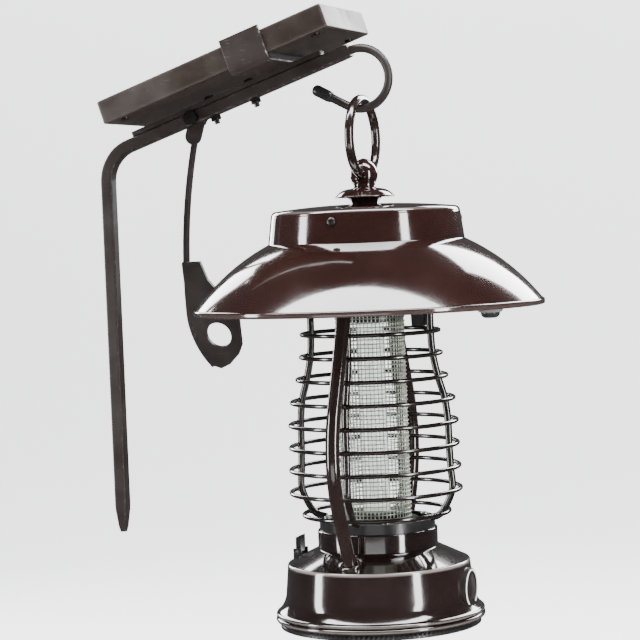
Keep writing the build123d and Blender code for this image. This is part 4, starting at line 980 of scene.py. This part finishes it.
boss = [(0, BADGE_BACK), (BADGE_R, BADGE_BACK), (BADGE_R, BADGE_FACE - 0.0008),
        (BADGE_R - 0.0002, BADGE_FACE - 0.0003), (BADGE_R - 0.0008, BADGE_FACE),
        (0.0112, BADGE_FACE), (0.0109, BADGE_FACE - 0.0005), (0.0064, BADGE_FACE - 0.0005),
        (0.0058, BADGE_FACE - 0.0001), (0, BADGE_FACE)]
settle(skin("badge_boss", facing_out(boss), loop_v=True, sharp=40), "lantern",
       moulded("badge_plastic", (0.010, 0.007, 0.006), 0.34, 1500.0), "badge_plate", "badge")
pale = [(0.0117, BADGE_FACE - 0.0002), (0.0131, BADGE_FACE - 0.0002), (0.0130, BADGE_FACE + 0.0003),
        (0.0124, BADGE_FACE + 0.0005), (0.0118, BADGE_FACE + 0.0003)]
settle(skin("badge_pale_ring", facing_out(pale), True, True, 60), "lantern",
       moulded("pale_paint", (0.72, 0.70, 0.66), 0.35, 1500.0), "badge_plate")

# ------------------------------------------------------------------ latch
# A small black lever leans on a pin between two ears on the base's cone. It
# tips outwards to free the tray.
welded("latch_ears", "latch_bracket", "lantern", BLACK_PLASTIC, "black_plastic")
welded("latch_lever", "base_latch", "latch", BLACK_PLASTIC, "black_plastic")
dress(ZINC, "latch_pin")

# ------------------------------------------------------------------ catch tray
# A black moulded cup closes the base from below and twists off by the finger
# grip across its underside.
welded("catch_tray_cup", "catch_tray", "tray", BLACK_PLASTIC, "black_plastic")

# ------------------------------------------------------------------ studio
# A pale floor curves up into a pale wall. Long soft lights stand on both sides
# and behind, so that the gloss shows tall clean highlights.
FLOOR_Z = -0.34


def pale_paper():
    """Matt paper with a very faint mottle."""
    made, tree, shader = material("pale_paper")
    mottle = pattern(tree, "Noise", Scale=3.0, Detail=2.0)
    paper = mixed(tree, mottle.outputs["Fac"], (0.93,) * 3, (0.9021,) * 3)
    typed(shader, Base_Color=paper, Emission_Color=(0.95, 0.96, 0.97, 1), Emission_Strength=1.7,
          Roughness=0.9)
    return made


sweep = corners_rounded([(-5.0, 0), (3.4, 0), (3.4, 3.6)], [0, 1.2, 0], steps=24)
paper_x = np.array([-6.0, 6.0])[None, :]
floor = skin("studio_floor", np.stack([paper_x + 0 * sweep[:, :1], sweep[:, :1] + 0 * paper_x,
                                       FLOOR_Z + sweep[:, 1:] + 0 * paper_x], axis=-1))
floor.data.materials.append(pale_paper())
floor.visible_glossy = False

world = bpy.data.worlds.new("studio_air")
world.use_nodes = True
bpy.context.scene.world = world
air = world.node_tree
backdrop = typed(air.nodes["Background"], Color=(0.96, 0.97, 0.98, 1), Strength=2.2)
dim = node(air, "ShaderNodeBackground", Color=(0.80, 0.84, 0.88, 1), Strength=0.09)
path = node(air, "ShaderNodeLightPath")
blend = node(air, "ShaderNodeMixShader", Fac=path.outputs["Is Camera Ray"])
air.links.new(dim.outputs[0], blend.inputs[1])
air.links.new(backdrop.outputs[0], blend.inputs[2])
typed(air.nodes["World Output"], Surface=blend.outputs[0])

LANTERN = Vector((AXIS_X, 0, RIM_Z))
for name, spot, wide, tall, power in (
        ("window_left", (-1.5, -1.0, 0.30), 0.35, 1.2, 26.0),
        ("window_right", (1.9, -0.75, 0.30), 0.30, 1.3, 28.0),
        ("sky_above", (0.30, -0.42, 1.80), 3.4, 0.52, 120.0),
        ("rear_left", (-1.2, 1.1, 0.75), 0.5, 1.2, 22.0),
        ("rear_right", (0.60, 1.40, 0.95), 0.55, 1.2, 34.0),
        ("low_bounce", (0.4, -1.3, -0.28), 1.2, 0.3, 2.0)):
    lamp = bpy.data.lights.new(name, "AREA")
    lamp.shape = "RECTANGLE"
    lamp.size = wide
    lamp.size_y = tall
    lamp.energy = power
    stand = placed(name, lamp)
    aim = (LANTERN - Vector(spot)).to_track_quat("-Z", "Y")
    stand.matrix_world = Matrix.Translation(spot) @ aim.to_matrix().to_4x4()

# The camera stands 1.5 m off, a little above the rim, and looks slightly down.
VIEW_TURN = np.radians(20.318)
VIEW_PAN = np.radians(1.315)
VIEW_TIP = np.radians(-2.562)
VIEW_ROLL = np.radians(2.288)
VIEW_AWAY = 1.50906
VIEW_RISE = 0.05969
LENS_MM = 121.5
stand_at = np.array([AXIS_X + VIEW_AWAY * np.sin(VIEW_TURN), -VIEW_AWAY * np.cos(VIEW_TURN),
                     RIM_Z + VIEW_RISE])
heading = np.array([-np.sin(VIEW_TURN + VIEW_PAN), np.cos(VIEW_TURN + VIEW_PAN), 0])
rightward = np.array([heading[1], -heading[0], 0])
ahead = heading * np.cos(VIEW_TIP) + np.array([0, 0, 1.0]) * np.sin(VIEW_TIP)
upward = np.cross(rightward, ahead)
rolled_right = rightward * np.cos(VIEW_ROLL) - upward * np.sin(VIEW_ROLL)
rolled_up = upward * np.cos(VIEW_ROLL) + rightward * np.sin(VIEW_ROLL)
lens = bpy.data.cameras.new("viewpoint")
lens.lens = LENS_MM
lens.sensor_width = 36.0
viewpoint = placed("viewpoint", lens)
pose = np.eye(4)
pose[:3, 0], pose[:3, 1], pose[:3, 2], pose[:3, 3] = rolled_right, rolled_up, -ahead, stand_at
viewpoint.matrix_world = Matrix(pose.tolist())
bpy.context.scene.camera = viewpoint
